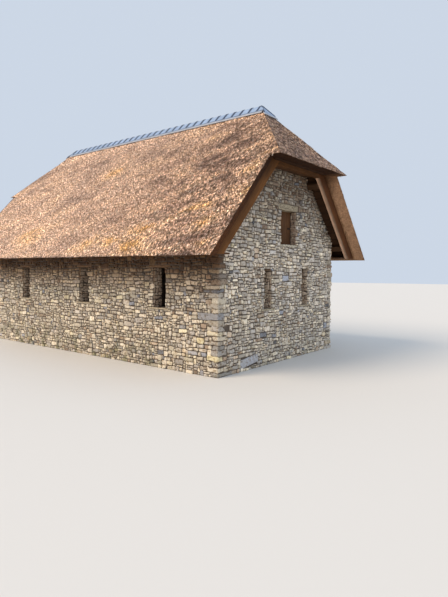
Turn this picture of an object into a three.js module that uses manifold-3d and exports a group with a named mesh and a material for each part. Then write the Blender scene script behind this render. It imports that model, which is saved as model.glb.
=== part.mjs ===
// Thatched cottage: one long room of rubble stone under a steep reed-thatched roof with
// half-hipped gables. Millimetres, +Z up. The origin is on the ground under the middle of
// the house, +X runs along the ridge and the long front wall faces -Y.

import * as THREE from "three";
import { mergeVertices } from "three/addons/utils/BufferGeometryUtils.js";
import Module from "manifold-3d";

const wasm = await Module();
wasm.setup();

// Walls
const houseLength = 8100;
const houseWidth = 4600;
const wallThickness = 600;
const wallHeadHeight = 2600;
const gableHeadHeight = 4150;
const floorHeight = 60;

// Roof planes, measured on the outer face of the thatch. Each long slope bends slightly at
// the height of the half-hip's eaves, steeper below it than above.
const ridgeHeight = 5635;
const eavesTipHeight = 2260;
const eavesOverhang = 887;
const ridgeEndInset = 630;
const hipEavesHeight = 4180;
const hipEavesHalfWidth = 1443;
const hipOverhang = 785;
const vergeOverhang = 550;
const vergeUndercut = 130;

// Roof layers, measured square to the slope
const thatchThickness = 220;
const boardingThickness = 130;
const bargeboardDepth = 230;
const bargeboardThickness = 105;
const bargeboardOffset = 270;
const purlinSize = 150;
const rafterDepth = 150;
const ridgeCapThickness = 25;

// Ridge and hip caps, measured on plan
const ridgeCapReach = 150;
const hipCapReach = 235;

// Slits: three in the front wall, two in the back wall and two in each gable
const slitSpacing = 2520;
const slitWidth = 360;
const slitSill = 1235;
const slitHead = 2050;
const slitStraightDepth = 250;
const slitInnerWidth = 760;
const slitLintelWidth = 600;
const slitLintelHeight = 50;
const gableSlitWidth = 300;
const gableSlitSill = 1190;
const gableSlitHead = 2030;
const gableSlitPlaces = [-640, 920];
const lintelDepth = 300;

// Shuttered window high in each gable
const windowPlace = 175;
const windowWidth = 670;
const windowSill = 2565;
const windowHead = 3315;
const windowLintelWidth = 860;
const windowLintelHeight = 130;
const windowSillThickness = 45;
const windowSillWidth = 760;
const windowSillDepth = 240;
const windowSillProud = 15;
const shutterRecess = 150;
const shutterThickness = 40;

// Doorway in the back wall
const doorwayWidth = 950;
const doorwayHead = 2000;
const doorLintelWidth = 1300;
const doorLintelHeight = 160;
const thresholdHeight = 90;
const doorFrameWidth = 90;
const doorFrameDepth = 100;
const doorFrameRecess = 110;
const doorLeafThickness = 45;
const doorLeafSetback = 20;

// Iron latch on the door: a plate with a round boss for the drop handle
const latchPlace = 280;
const latchHeight = 1060;
const latchPlateWidth = 60;
const latchPlateLength = 160;
const latchPlateThickness = 8;
const latchBossRadius = 20;
const latchBossTaper = 2;
const latchBossLength = 34;

// Timbers
const trussPlaces = [-2000, 0, 2000];
const trussThickness = 120;
const tieDepth = 180;
const tieHalfLength = 2150;
const collarHeight = 3850;
const collarDepth = 140;
const ridgeBeamWidth = 120;
const ridgeBeamDepth = 170;
const ridgeBeamBearing = 40;
const purlinPlace = 1050;
const eavesPlateWidth = 100;
const eavesPlateHeight = 120;
const eavesPlateFoot = 2475;
const eavesSoffitHeight = 2290;
const soffitThickness = 30;
const hipBoardDepth = 85;
const hipSoffitBearing = 100;
const hipSoffitThickness = 25;

// Touching pieces keep this gap
const gap = 0.3;

// Values that follow from the sizes above
const gableFace = houseLength / 2;
const frontFace = houseWidth / 2;
const gableInside = gableFace - wallThickness;
const frontInside = frontFace - wallThickness;
const eavesTip = frontFace + eavesOverhang;
const lowerSlope = (hipEavesHeight - eavesTipHeight) / (eavesTip - hipEavesHalfWidth);
const lowerAngle = Math.atan(lowerSlope);
const lowerApex = hipEavesHeight + lowerSlope * hipEavesHalfWidth;
const upperSlope = (ridgeHeight - hipEavesHeight) / hipEavesHalfWidth;
const upperAngle = Math.atan(upperSlope);
const ridgeEnd = gableFace - ridgeEndInset;
const hipTip = gableFace + hipOverhang;
const hipSlope = (ridgeHeight - hipEavesHeight) / (hipTip - ridgeEnd);
const hipAngle = Math.atan(hipSlope);
const hipLineSlope = hipSlope / upperSlope;
const vergeEdge = gableFace + vergeOverhang;
const roofDepth = thatchThickness + boardingThickness;
const bargeboardBack = gableFace + bargeboardOffset;
const slitPlaces = [-slitSpacing, 0, slitSpacing];

// Larger than the house in every direction, and how far a cutter runs past what it cuts
const farAway = 9000;
const wellPast = 1000;
const pastFace = 50;

const colours = {
  stone: 0xb7a98c,
  paleStone: 0xc6bda8,
  thatch: 0xa9793f,
  oak: 0x6d4a2c,
  darkOak: 0x4a3424,
  ridgeTile: 0x8fa1b0,
  iron: 0x2b2a29,
  floor: 0x8c8478,
};

const house = new THREE.Group();

function material(colour, roughness, metalness) {
  return new THREE.MeshStandardMaterial({ color: colour, roughness, metalness });
}

function solid(geometry) {
  const bare = geometry.clone();
  bare.deleteAttribute("normal");
  bare.deleteAttribute("uv");
  const merged = mergeVertices(bare, 0.001);
  const mesh = new wasm.Mesh({
    numProp: 3,
    vertProperties: new Float32Array(merged.attributes.position.array),
    triVerts: new Uint32Array(merged.index.array),
  });
  return new wasm.Manifold(mesh);
}

function geometryOf(body) {
  const mesh = body.getMesh();
  const geometry = new THREE.BufferGeometry();
  geometry.setAttribute("position", new THREE.BufferAttribute(mesh.vertProperties.slice(), 3));
  geometry.setIndex(new THREE.BufferAttribute(mesh.triVerts.slice(), 1));
  geometry.computeVertexNormals();
  return geometry;
}

function place(name, body, finish) {
  const mesh = new THREE.Mesh(geometryOf(body), finish);
  mesh.name = name;
  house.add(mesh);
}

function block(x0, x1, y0, y1, z0, z1) {
  const geometry = new THREE.BoxGeometry(x1 - x0, y1 - y0, z1 - z0);
  geometry.translate((x0 + x1) / 2, (y0 + y1) / 2, (z0 + z1) / 2);
  return solid(geometry);
}

function outline(points) {
  return new THREE.Shape(points.map(([u, v]) => new THREE.Vector2(u, v)));
}

function extruded(points, length, basis) {
  const geometry = new THREE.ExtrudeGeometry(outline(points), { depth: length, bevelEnabled: false });
  geometry.applyMatrix4(basis);
  return solid(geometry);
}

// A section drawn in Y and Z, pushed along X from x0 to x1
function alongX(points, x0, x1) {
  const basis = new THREE.Matrix4().makeBasis(
    new THREE.Vector3(0, 1, 0), new THREE.Vector3(0, 0, 1), new THREE.Vector3(1, 0, 0));
  basis.setPosition(x0, 0, 0);
  return extruded(points, x1 - x0, basis);
}

// A section drawn in X and Z, pushed along Y from y0 to y1
function alongY(points, y0, y1) {
  const basis = new THREE.Matrix4().makeBasis(
    new THREE.Vector3(1, 0, 0), new THREE.Vector3(0, 0, 1), new THREE.Vector3(0, -1, 0));
  basis.setPosition(0, y1, 0);
  return extruded(points, y1 - y0, basis);
}

// A plan drawn in X and Y, pushed up from z0 to z1
function upZ(points, z0, z1) {
  const basis = new THREE.Matrix4().setPosition(0, 0, z0);
  return extruded(points, z1 - z0, basis);
}

function tent(apex, slope, bottom) {
  const foot = (apex - bottom) / slope;
  return alongX([[-foot, bottom], [foot, bottom], [0, apex]], -farAway, farAway);
}

// Everything under both long slopes, each moved out square to itself by offset
function underSlopes(offset, bottom) {
  const lower = tent(lowerApex + offset / Math.cos(lowerAngle), lowerSlope, bottom);
  const upper = tent(ridgeHeight + offset / Math.cos(upperAngle), upperSlope, bottom);
  return lower.intersect(upper);
}

// Everything under both half-hips, moved out in the same way
function underHips(offset, bottom) {
  const shift = offset / Math.sin(hipAngle);
  const reach = (z) => ridgeEnd + (ridgeHeight - z) / hipSlope + shift;
  const top = ridgeHeight + wellPast;
  const section = [[-reach(bottom), bottom], [reach(bottom), bottom], [reach(top), top], [-reach(top), top]];
  return alongY(section, -farAway, farAway);
}

function slopeLayer(outer, inner, bottom) {
  return underSlopes(outer, bottom).subtract(underSlopes(inner, bottom - wellPast));
}

function hipLayer(outer, inner, bottom) {
  const outside = underSlopes(outer, bottom).intersect(underHips(outer, bottom));
  const inside = underSlopes(inner, bottom - wellPast).intersect(underHips(inner, bottom - wellPast));
  return outside.subtract(inside);
}

// The plan wedge of one half-hip, between its two hip lines
function hipWedge(end, inset) {
  const tip = ridgeEnd + inset;
  const far = tip + farAway;
  const half = farAway * hipLineSlope;
  const points = end > 0
    ? [[tip, 0], [far, -half], [far, half]]
    : [[-tip, 0], [-far, half], [-far, -half]];
  return upZ(points, 0, farAway);
}

function halfOf(body, side) {
  return body.intersect(block(-farAway, farAway, side > 0 ? gap / 2 : -farAway,
    side > 0 ? farAway : -gap / 2, -wellPast, farAway));
}

// What is cut off beyond a verge, with the foot of the cut further in than its top
function beyondVerge(end, side) {
  const lean = vergeUndercut / thatchThickness;
  const below = 700;
  const above = 200;
  const near = [[vergeEdge - below * lean, -below], [farAway, -below], [farAway, above],
    [vergeEdge + above * lean, above]];
  const points = end > 0 ? near : near.map(([x, v]) => [-x, v]).reverse();
  const across = new THREE.Vector3(1, 0, 0);
  const outward = new THREE.Vector3(0, side * Math.sin(lowerAngle), Math.cos(lowerAngle));
  const along = new THREE.Vector3().crossVectors(across, outward);
  const basis = new THREE.Matrix4().makeBasis(across, outward, along);
  const start = new THREE.Vector3(0, 0, lowerApex).addScaledVector(along, -farAway);
  basis.setPosition(start);
  const cutter = extruded(points, 2 * farAway, basis);
  return cutter.intersect(block(-farAway, farAway, -farAway, farAway, -farAway, hipEavesHeight));
}

function thatchSlope(side) {
  let body = halfOf(slopeLayer(0, -thatchThickness, eavesTipHeight), side);
  for (const end of [-1, 1]) {
    body = body.subtract(beyondVerge(end, side));
    body = body.subtract(hipWedge(end, 0));
  }
  return body;
}

function thatchHip(end) {
  return hipLayer(0, -thatchThickness, hipEavesHeight).intersect(hipWedge(end, 2 * gap));
}

function boardingSlope(side) {
  let body = halfOf(slopeLayer(-thatchThickness - gap, -roofDepth, eavesSoffitHeight), side);
  const edge = bargeboardBack - gap;
  body = body.intersect(block(-edge, edge, -farAway, farAway, 0, farAway));
  for (const end of [-1, 1]) {
    body = body.subtract(hipWedge(end, 0));
  }
  return body;
}

function boardingHip(end) {
  const layer = hipLayer(-thatchThickness - gap, -roofDepth, hipEavesHeight);
  return layer.intersect(hipWedge(end, 2 * gap));
}

function ridgeCap() {
  let body = slopeLayer(ridgeCapThickness, gap, 0);
  body = body.intersect(block(-farAway, farAway, -ridgeCapReach, ridgeCapReach, 0, farAway));
  for (const end of [-1, 1]) {
    body = body.subtract(hipWedge(end, 0));
  }
  return body;
}

function hipCap(end) {
  const reach = ridgeEnd + hipCapReach;
  const layer = hipLayer(ridgeCapThickness, gap, 0).intersect(hipWedge(end, 2 * gap));
  return layer.intersect(block(-reach, reach, -farAway, farAway, 0, farAway));
}

// Boxes given by their depth behind a gable's or a long wall's outer face
function inGable(end, depth0, depth1, y0, y1, z0, z1) {
  const xs = [end * (gableFace - depth0), end * (gableFace - depth1)].sort((a, b) => a - b);
  return block(xs[0], xs[1], y0, y1, z0, z1);
}

function inLongWall(side, depth0, depth1, x0, x1, z0, z1) {
  const ys = [side * (frontFace - depth0), side * (frontFace - depth1)].sort((a, b) => a - b);
  return block(x0, x1, ys[0], ys[1], z0, z1);
}

// Half plan of a slit that is straight at first and then opens towards the room
function splayedPlan(width) {
  const flare = (slitInnerWidth - slitWidth) / 2;
  const inner = width / 2 + flare * (1 + pastFace / (wallThickness - slitStraightDepth));
  return [[width / 2, -pastFace], [width / 2, slitStraightDepth], [inner, wallThickness + pastFace]];
}

function slitInLongWall(side, centre) {
  const half = splayedPlan(slitWidth);
  const right = half.map(([w, d]) => [centre + w, side * (frontFace - d)]);
  const left = half.map(([w, d]) => [centre - w, side * (frontFace - d)]).reverse();
  const points = side > 0 ? [...left, ...right] : [...right, ...left];
  return upZ(points, slitSill, slitHead);
}

function slitInGable(end, centre) {
  const half = splayedPlan(gableSlitWidth);
  const right = half.map(([w, d]) => [end * (gableFace - d), centre + w]);
  const left = half.map(([w, d]) => [end * (gableFace - d), centre - w]).reverse();
  const points = end > 0 ? [...left, ...right] : [...right, ...left];
  return upZ(points, gableSlitSill, gableSlitHead);
}

function slitLintel(side, centre, room) {
  const half = slitLintelWidth / 2 + room;
  return inLongWall(side, -room, lintelDepth + room, centre - half, centre + half,
    slitHead + gap - room, slitHead + slitLintelHeight + room);
}

function windowLintel(end, room) {
  const half = windowLintelWidth / 2 + room;
  return inGable(end, -room, lintelDepth + room, windowPlace - half, windowPlace + half,
    windowHead + gap - room, windowHead + windowLintelHeight + room);
}

function windowSillSlab(end, room) {
  const half = windowSillWidth / 2 + room;
  return inGable(end, -windowSillProud - room, windowSillDepth + room, windowPlace - half,
    windowPlace + half, windowSill - windowSillThickness - room, windowSill - gap + room);
}

function doorLintel(room) {
  const half = doorLintelWidth / 2 + room;
  return inLongWall(1, -room, lintelDepth + room, -half, half,
    doorwayHead + gap - room, doorwayHead + doorLintelHeight + room);
}

function longWall(side, slits) {
  let body = inLongWall(side, 0, wallThickness, -gableInside + gap, gableInside - gap, 0, wallHeadHeight);
  for (const centre of slits) {
    body = body.subtract(slitInLongWall(side, centre));
    body = body.subtract(slitLintel(side, centre, gap));
  }
  return body;
}

function doorway() {
  const half = doorwayWidth / 2;
  return inLongWall(1, -pastFace, wallThickness + pastFace, -half, half, -pastFace, doorwayHead);
}

// A purlin lies square to the upper slope, straight on the principal rafters
function purlin(side, room) {
  const layer = slopeLayer(-roofDepth - gap + room, -roofDepth - purlinSize - room, 0);
  const middle = new THREE.Vector2(side * purlinPlace,
    ridgeHeight - (roofDepth + purlinSize / 2) / Math.cos(upperAngle) - upperSlope * purlinPlace);
  const normal = new THREE.Vector2(side * Math.sin(upperAngle), Math.cos(upperAngle));
  const downhill = new THREE.Vector2(side * Math.cos(upperAngle), -Math.sin(upperAngle));
  const corner = (along, up) => [
    middle.x + downhill.x * along + normal.x * up,
    middle.y + downhill.y * along + normal.y * up];
  const half = purlinSize / 2 + room;
  const ring = [corner(-half, -purlinSize), corner(half, -purlinSize), corner(half, purlinSize),
    corner(-half, purlinSize)];
  const section = side > 0 ? ring : ring.reverse();
  const reach = bargeboardBack - gap + room;
  return alongX(section, -reach, reach).intersect(layer);
}

function gableWall(end) {
  let body = inGable(end, 0, wallThickness, -frontFace, frontFace, 0, gableHeadHeight);
  body = body.intersect(underSlopes(-roofDepth - gap, -wellPast));
  for (const centre of gableSlitPlaces) {
    body = body.subtract(slitInGable(end, centre));
  }
  const half = windowWidth / 2;
  body = body.subtract(inGable(end, -pastFace, wallThickness + pastFace, windowPlace - half,
    windowPlace + half, windowSill, windowHead));
  body = body.subtract(windowLintel(end, gap));
  body = body.subtract(windowSillSlab(end, gap));
  body = body.subtract(purlin(-1, gap));
  body = body.subtract(purlin(1, gap));
  return body;
}

// A board of the roof's edge, standing off the gable's face
function edgeBoard(end, z0, z1) {
  return inGable(end, -bargeboardOffset, -bargeboardOffset - bargeboardThickness, -farAway, farAway, z0, z1);
}

function bargeboard(end, side) {
  const under = -thatchThickness - gap;
  const layer = halfOf(slopeLayer(under, -thatchThickness - bargeboardDepth, eavesSoffitHeight), side);
  return layer.intersect(edgeBoard(end, 0, hipEavesHeight - gap));
}

function hipSoffit(end) {
  const slab = inGable(end, hipSoffitBearing, gap - bargeboardOffset, -farAway, farAway,
    gableHeadHeight + gap, gableHeadHeight + hipSoffitThickness);
  return slab.intersect(underSlopes(-roofDepth - gap, 0));
}

function hipBoard(end) {
  const top = hipEavesHeight - gap;
  const board = edgeBoard(end, top - hipBoardDepth, top);
  return board.intersect(underSlopes(-thatchThickness - bargeboardDepth - gap, 0));
}

function eavesSoffit(side) {
  const underside = lowerApex - roofDepth / Math.cos(lowerAngle);
  const outer = (underside - eavesSoffitHeight - soffitThickness) / lowerSlope;
  return inLongWall(side, -gap, frontFace - outer + 2 * gap, -bargeboardBack + gap, bargeboardBack - gap,
    eavesSoffitHeight, eavesSoffitHeight + soffitThickness);
}

function eavesPlate(side) {
  return inLongWall(side, -gap, -eavesPlateWidth, -bargeboardBack + gap, bargeboardBack - gap,
    eavesPlateFoot, eavesPlateFoot + eavesPlateHeight);
}

function ridgeBeam(room) {
  const half = ridgeBeamWidth / 2 + room;
  const top = ridgeHeight - (roofDepth + gap) / Math.cos(upperAngle) - upperSlope * ridgeBeamWidth / 2;
  const reach = ridgeEnd + ridgeBeamBearing;
  return block(-reach - room, reach + room, -half, half, top - ridgeBeamDepth - room, top + room);
}

// Tie beam, two principal rafters and a collar, joined as one frame
function truss(centre) {
  const half = trussThickness / 2;
  const rafterTop = -roofDepth - purlinSize - gap;
  const feet = wallHeadHeight + gap;
  const plane = block(centre - half, centre + half, -farAway, farAway, feet, farAway);
  let frame = slopeLayer(rafterTop, rafterTop - rafterDepth, feet - pastFace).intersect(plane);
  const inside = underSlopes(rafterTop - rafterDepth / 2, 0);
  const collar = block(centre - half, centre + half, -farAway, farAway,
    collarHeight, collarHeight + collarDepth);
  frame = frame.add(collar.intersect(inside));
  frame = frame.intersect(block(-farAway, farAway, -tieHalfLength, tieHalfLength, feet, farAway));
  frame = frame.add(block(centre - half, centre + half, -tieHalfLength, tieHalfLength, feet,
    feet + tieDepth));
  return frame.subtract(ridgeBeam(gap));
}

function doorFrame() {
  const outer = doorwayWidth / 2 - gap;
  const inner = outer - doorFrameWidth;
  const foot = thresholdHeight + gap;
  const head = doorwayHead - gap;
  const points = [[-outer, foot], [-inner, foot], [-inner, head - doorFrameWidth],
    [inner, head - doorFrameWidth], [inner, foot], [outer, foot], [outer, head], [-outer, head]];
  const face = frontFace - doorFrameRecess;
  return alongY(points, face - doorFrameDepth, face);
}

function doorLeaf() {
  const half = doorwayWidth / 2 - 2 * gap - doorFrameWidth;
  const face = doorFrameRecess + doorLeafSetback;
  return inLongWall(1, face, face + doorLeafThickness, -half, half,
    thresholdHeight + gap, doorwayHead - doorFrameWidth - 2 * gap);
}

function doorLatch() {
  const face = frontFace - doorFrameRecess - doorLeafSetback + gap;
  const halfWidth = latchPlateWidth / 2;
  const halfLength = latchPlateLength / 2;
  const plate = block(latchPlace - halfWidth, latchPlace + halfWidth, face, face + latchPlateThickness,
    latchHeight - halfLength, latchHeight + halfLength);
  const boss = new THREE.CylinderGeometry(latchBossRadius - latchBossTaper,
    latchBossRadius + latchBossTaper, latchBossLength, 16);
  boss.translate(latchPlace, face + latchBossLength / 2 + gap, latchHeight);
  return plate.add(solid(boss));
}

function threshold() {
  const half = doorwayWidth / 2 - gap;
  return inLongWall(1, 0, wallThickness, -half, half, 0, thresholdHeight);
}

function shutter(end) {
  const half = windowWidth / 2 - gap;
  return inGable(end, shutterRecess, shutterRecess + shutterThickness,
    windowPlace - half, windowPlace + half, windowSill, windowHead - gap);
}

function addWalls() {
  const stone = () => material(colours.stone, 0.95, 0);
  const paleStone = () => material(colours.paleStone, 0.9, 0);
  place("front_wall", longWall(-1, slitPlaces), stone());
  const backSlits = [-slitSpacing, slitSpacing];
  const backWall = longWall(1, backSlits).subtract(doorway()).subtract(doorLintel(gap));
  place("back_wall", backWall, stone());
  slitPlaces.forEach((centre, index) => {
    place(`front_slit_lintel_${index + 1}`, slitLintel(-1, centre, 0), paleStone());
  });
  backSlits.forEach((centre, index) => {
    place(`back_slit_lintel_${index + 1}`, slitLintel(1, centre, 0), paleStone());
  });
  for (const [name, end] of [["near", 1], ["far", -1]]) {
    place(`${name}_gable_wall`, gableWall(end), stone());
    place(`${name}_window_lintel`, windowLintel(end, 0), paleStone());
    place(`${name}_window_sill`, windowSillSlab(end, 0), paleStone());
    place(`${name}_window_shutter`, shutter(end), material(colours.darkOak, 0.8, 0));
  }
  const floor = block(-gableInside + gap, gableInside - gap, -frontInside + gap, frontInside - gap,
    0, floorHeight);
  place("floor", floor, material(colours.floor, 0.9, 0));
}

function addDoor() {
  place("door_lintel", doorLintel(0), material(colours.paleStone, 0.9, 0));
  place("door_threshold", threshold(), material(colours.paleStone, 0.85, 0));
  place("door_frame", doorFrame(), material(colours.oak, 0.75, 0));
  place("door", doorLeaf(), material(colours.darkOak, 0.8, 0));
  place("door_latch", doorLatch(), material(colours.iron, 0.5, 0.9));
}

function addRoof() {
  const thatch = () => material(colours.thatch, 1, 0);
  const oak = () => material(colours.oak, 0.75, 0);
  const tile = () => material(colours.ridgeTile, 0.6, 0);
  for (const [name, side] of [["front", -1], ["back", 1]]) {
    place(`${name}_thatch`, thatchSlope(side), thatch());
    place(`${name}_roof_boarding`, boardingSlope(side), oak());
    place(`${name}_purlin`, purlin(side, 0), oak());
    place(`${name}_eaves_soffit`, eavesSoffit(side), oak());
    place(`${name}_eaves_plate`, eavesPlate(side), oak());
  }
  for (const [name, end] of [["near", 1], ["far", -1]]) {
    place(`${name}_hip_thatch`, thatchHip(end), thatch());
    place(`${name}_hip_boarding`, boardingHip(end), oak());
    place(`${name}_hip_cap`, hipCap(end), tile());
    place(`${name}_hip_board`, hipBoard(end), oak());
    place(`${name}_hip_soffit`, hipSoffit(end), oak());
    place(`${name}_front_bargeboard`, bargeboard(end, -1), oak());
    place(`${name}_back_bargeboard`, bargeboard(end, 1), oak());
  }
  place("ridge_cap", ridgeCap(), tile());
  place("ridge_beam", ridgeBeam(0), oak());
  trussPlaces.forEach((centre, index) => {
    place(`truss_${index + 1}`, truss(centre), oak());
  });
}

addWalls();
addDoor();
addRoof();

export default house;
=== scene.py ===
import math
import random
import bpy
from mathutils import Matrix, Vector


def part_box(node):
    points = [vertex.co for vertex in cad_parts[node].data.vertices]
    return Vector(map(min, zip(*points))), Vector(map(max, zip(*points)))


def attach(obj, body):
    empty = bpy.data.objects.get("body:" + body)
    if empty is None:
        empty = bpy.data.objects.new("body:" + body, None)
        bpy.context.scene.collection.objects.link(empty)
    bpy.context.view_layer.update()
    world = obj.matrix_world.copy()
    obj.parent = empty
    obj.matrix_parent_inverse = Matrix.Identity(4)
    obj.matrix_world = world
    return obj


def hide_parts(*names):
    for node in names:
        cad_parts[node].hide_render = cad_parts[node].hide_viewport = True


bl_info = {
    "name": "Thatched cottage",
    "version": (1, 0, 0),
    "blender": (4, 5, 0),
    "location": "View3D > Sidebar > Cottage",
    "description": "Dresses a stone cottage in rubble, reed thatch, ridge tiles and oak",
    "category": "Object",
}

import bmesh
import bpy
import numpy as np
from bpy.props import FloatProperty, FloatVectorProperty, IntProperty, PointerProperty
from mathutils import Matrix, Vector, noise
from mathutils.bvhtree import BVHTree

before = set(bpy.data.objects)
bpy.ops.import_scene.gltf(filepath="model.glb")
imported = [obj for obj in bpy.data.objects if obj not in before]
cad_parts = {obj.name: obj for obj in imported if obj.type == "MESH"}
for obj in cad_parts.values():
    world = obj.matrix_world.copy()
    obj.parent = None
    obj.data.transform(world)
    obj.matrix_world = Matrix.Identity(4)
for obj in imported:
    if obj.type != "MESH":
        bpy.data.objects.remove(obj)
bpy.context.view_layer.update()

MM = 0.001
UP = Vector((0, 0, 1))
ENDS = {"near": 1, "far": -1}

# The camera stands where the photo was taken from, in metres and degrees, and sees 448 by 597.
IMAGE_SIZE = (448, 597)
CAMERA_PLACE = Vector((9.646, -9.226, 2.0437))
CAMERA_HEADING = 128.23
CAMERA_PITCH = -3.587
CAMERA_ROLL = 0.223
CAMERA_FOCAL_PIXELS = 485.69
SENSOR_WIDTH = 36.0


def linear(code):
    """Turns an sRGB hex colour into the linear colour that a shader works with."""
    channels = [int(code[i : i + 2], 16) / 255 for i in (1, 3, 5)]
    low = 0.04045
    return tuple(c / 12.92 if c <= low else ((c + 0.055) / 1.055) ** 2.4 for c in channels) + (1.0,)


def per_metre(millimetres):
    """The pattern scale on metre coordinates that gives features of a real size."""
    return 1000.0 / millimetres


class CottageStone(bpy.types.PropertyGroup):
    seed: IntProperty(name="Seed", description="Order in which the stones are picked", default=7, min=0)
    proud: FloatProperty(
        name="Proud", description="How far the stones stand out of the mortar", default=24 * MM,
        min=5 * MM, max=60 * MM, unit="LENGTH")
    joint: FloatProperty(
        name="Joint", description="Width of the joint between two stones", default=10 * MM,
        min=2 * MM, max=30 * MM, unit="LENGTH")
    # The mortar is its own earth brown, darkened further as painted shade in the recessed joints.
    mortar: FloatVectorProperty(
        name="Mortar", description="Colour of the recessed lime and earth mortar", subtype="COLOR",
        size=4, min=0, max=1, default=linear("#6E6052"))


class CottageThatch(bpy.types.PropertyGroup):
    cell: FloatProperty(
        name="Cell", description="Spacing of the modelled unevenness", default=60 * MM,
        min=30 * MM, max=300 * MM, unit="LENGTH")
    unevenness: FloatProperty(
        name="Unevenness", description="Height of the slow swells in the coat of reed", default=14 * MM,
        min=0, max=60 * MM, unit="LENGTH")
    reed_count: IntProperty(
        name="Reeds", description="Loose reed ends on the whole roof", default=16000, min=0, max=20000)
    reed_seed: IntProperty(
        name="Reed seed", description="Order in which loose reeds are picked", default=11, min=0)
    straw: FloatVectorProperty(
        name="Reed", description="Colour of the sunlit reed", subtype="COLOR",
        size=4, min=0, max=1, default=linear("#C8A078"))


class CottageRidge(bpy.types.PropertyGroup):
    tile_length: FloatProperty(
        name="Tile length", description="Length of a ridge tile that shows", default=238 * MM,
        min=100 * MM, max=600 * MM, unit="LENGTH")
    slate: FloatVectorProperty(
        name="Tile", description="Colour of the blue-grey ridge tiles", subtype="COLOR",
        size=4, min=0, max=1, default=linear("#8FA4C0"))


class CottageTimber(bpy.types.PropertyGroup):
    arris: FloatProperty(
        name="Arris", description="Width of the worn edge of a sawn timber", default=5 * MM,
        min=1 * MM, max=20 * MM, unit="LENGTH")
    board: FloatProperty(
        name="Board", description="Width of a soffit board", default=140 * MM,
        min=60 * MM, max=300 * MM, unit="LENGTH")
    # The oak is its own dark brown, darkened further as painted shade under the overhanging thatch.
    oak: FloatVectorProperty(
        name="Oak", description="Colour of the outdoor oak", subtype="COLOR",
        size=4, min=0, max=1, default=linear("#5C3A1B"))


def by_name(sockets, name):
    """A socket by its identifier, or else by its name."""
    found = [socket for socket in sockets if socket.identifier == name]
    return found[0] if found else sockets[name]


def add_node(tree, kind, inputs=None, stops=(), **settings):
    """Adds a node. An input is a plain value, or another node's output given as (node, name)."""
    made = tree.nodes.new("ShaderNode" + kind)
    for name, value in settings.items():
        setattr(made, name, value)
    for name, value in (inputs or {}).items():
        socket = by_name(made.inputs, name)
        if isinstance(value, tuple) and isinstance(value[0], bpy.types.Node):
            tree.links.new(by_name(value[0].outputs, value[1]), socket)
        else:
            socket.default_value = value
    if stops:
        elements = made.color_ramp.elements
        while len(elements) < len(stops):
            elements.new(0.5)
        for element, (place, colour) in zip(elements, stops):
            element.position = place
            element.color = linear(colour)
    return made


def new_material(name):
    """An empty material with its shader, for a finish to be built on."""
    material = bpy.data.materials.new(name)
    material.use_nodes = True
    tree = material.node_tree
    tree.nodes.clear()
    shader = add_node(tree, "BsdfPrincipled")
    add_node(tree, "OutputMaterial", {"Surface": (shader, "BSDF")})
    return material, tree, shader


# Open grain and cut stems reflect less than a closed surface does.
POROUS = 1.25
# Nearly all the values of a noise lie in this span.
NOISE_SPAN = {"From Min": 0.3, "From Max": 0.7}


def finish_shader(tree, shader, colour, roughness, height, depth, ior=1.5):
    """Links colour and roughness, and a bump whose height is given in metres."""
    bump = add_node(tree, "Bump", {"Height": height, "Distance": depth, "Strength": 1.0})
    tree.links.new(by_name(colour[0].outputs, colour[1]), shader.inputs["Base Color"])
    tree.links.new(by_name(roughness[0].outputs, roughness[1]), shader.inputs["Roughness"])
    tree.links.new(bump.outputs["Normal"], shader.inputs["Normal"])
    shader.inputs["IOR"].default_value = ior


# Colours of the field stones, from blue slate through grey, buff and cream to brown ironstone.
STONE_TONES = (
    (0.00, "#5D5A55"),
    (0.06, "#8E9097"),
    (0.13, "#ABA59D"),
    (0.32, "#BAAF9F"),
    (0.54, "#C6BAA5"),
    (0.74, "#D3C8B3"),
    (0.84, "#DCCFA8"),
    (0.90, "#B8A791"),
    (1.00, "#927C69"),
)


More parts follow.
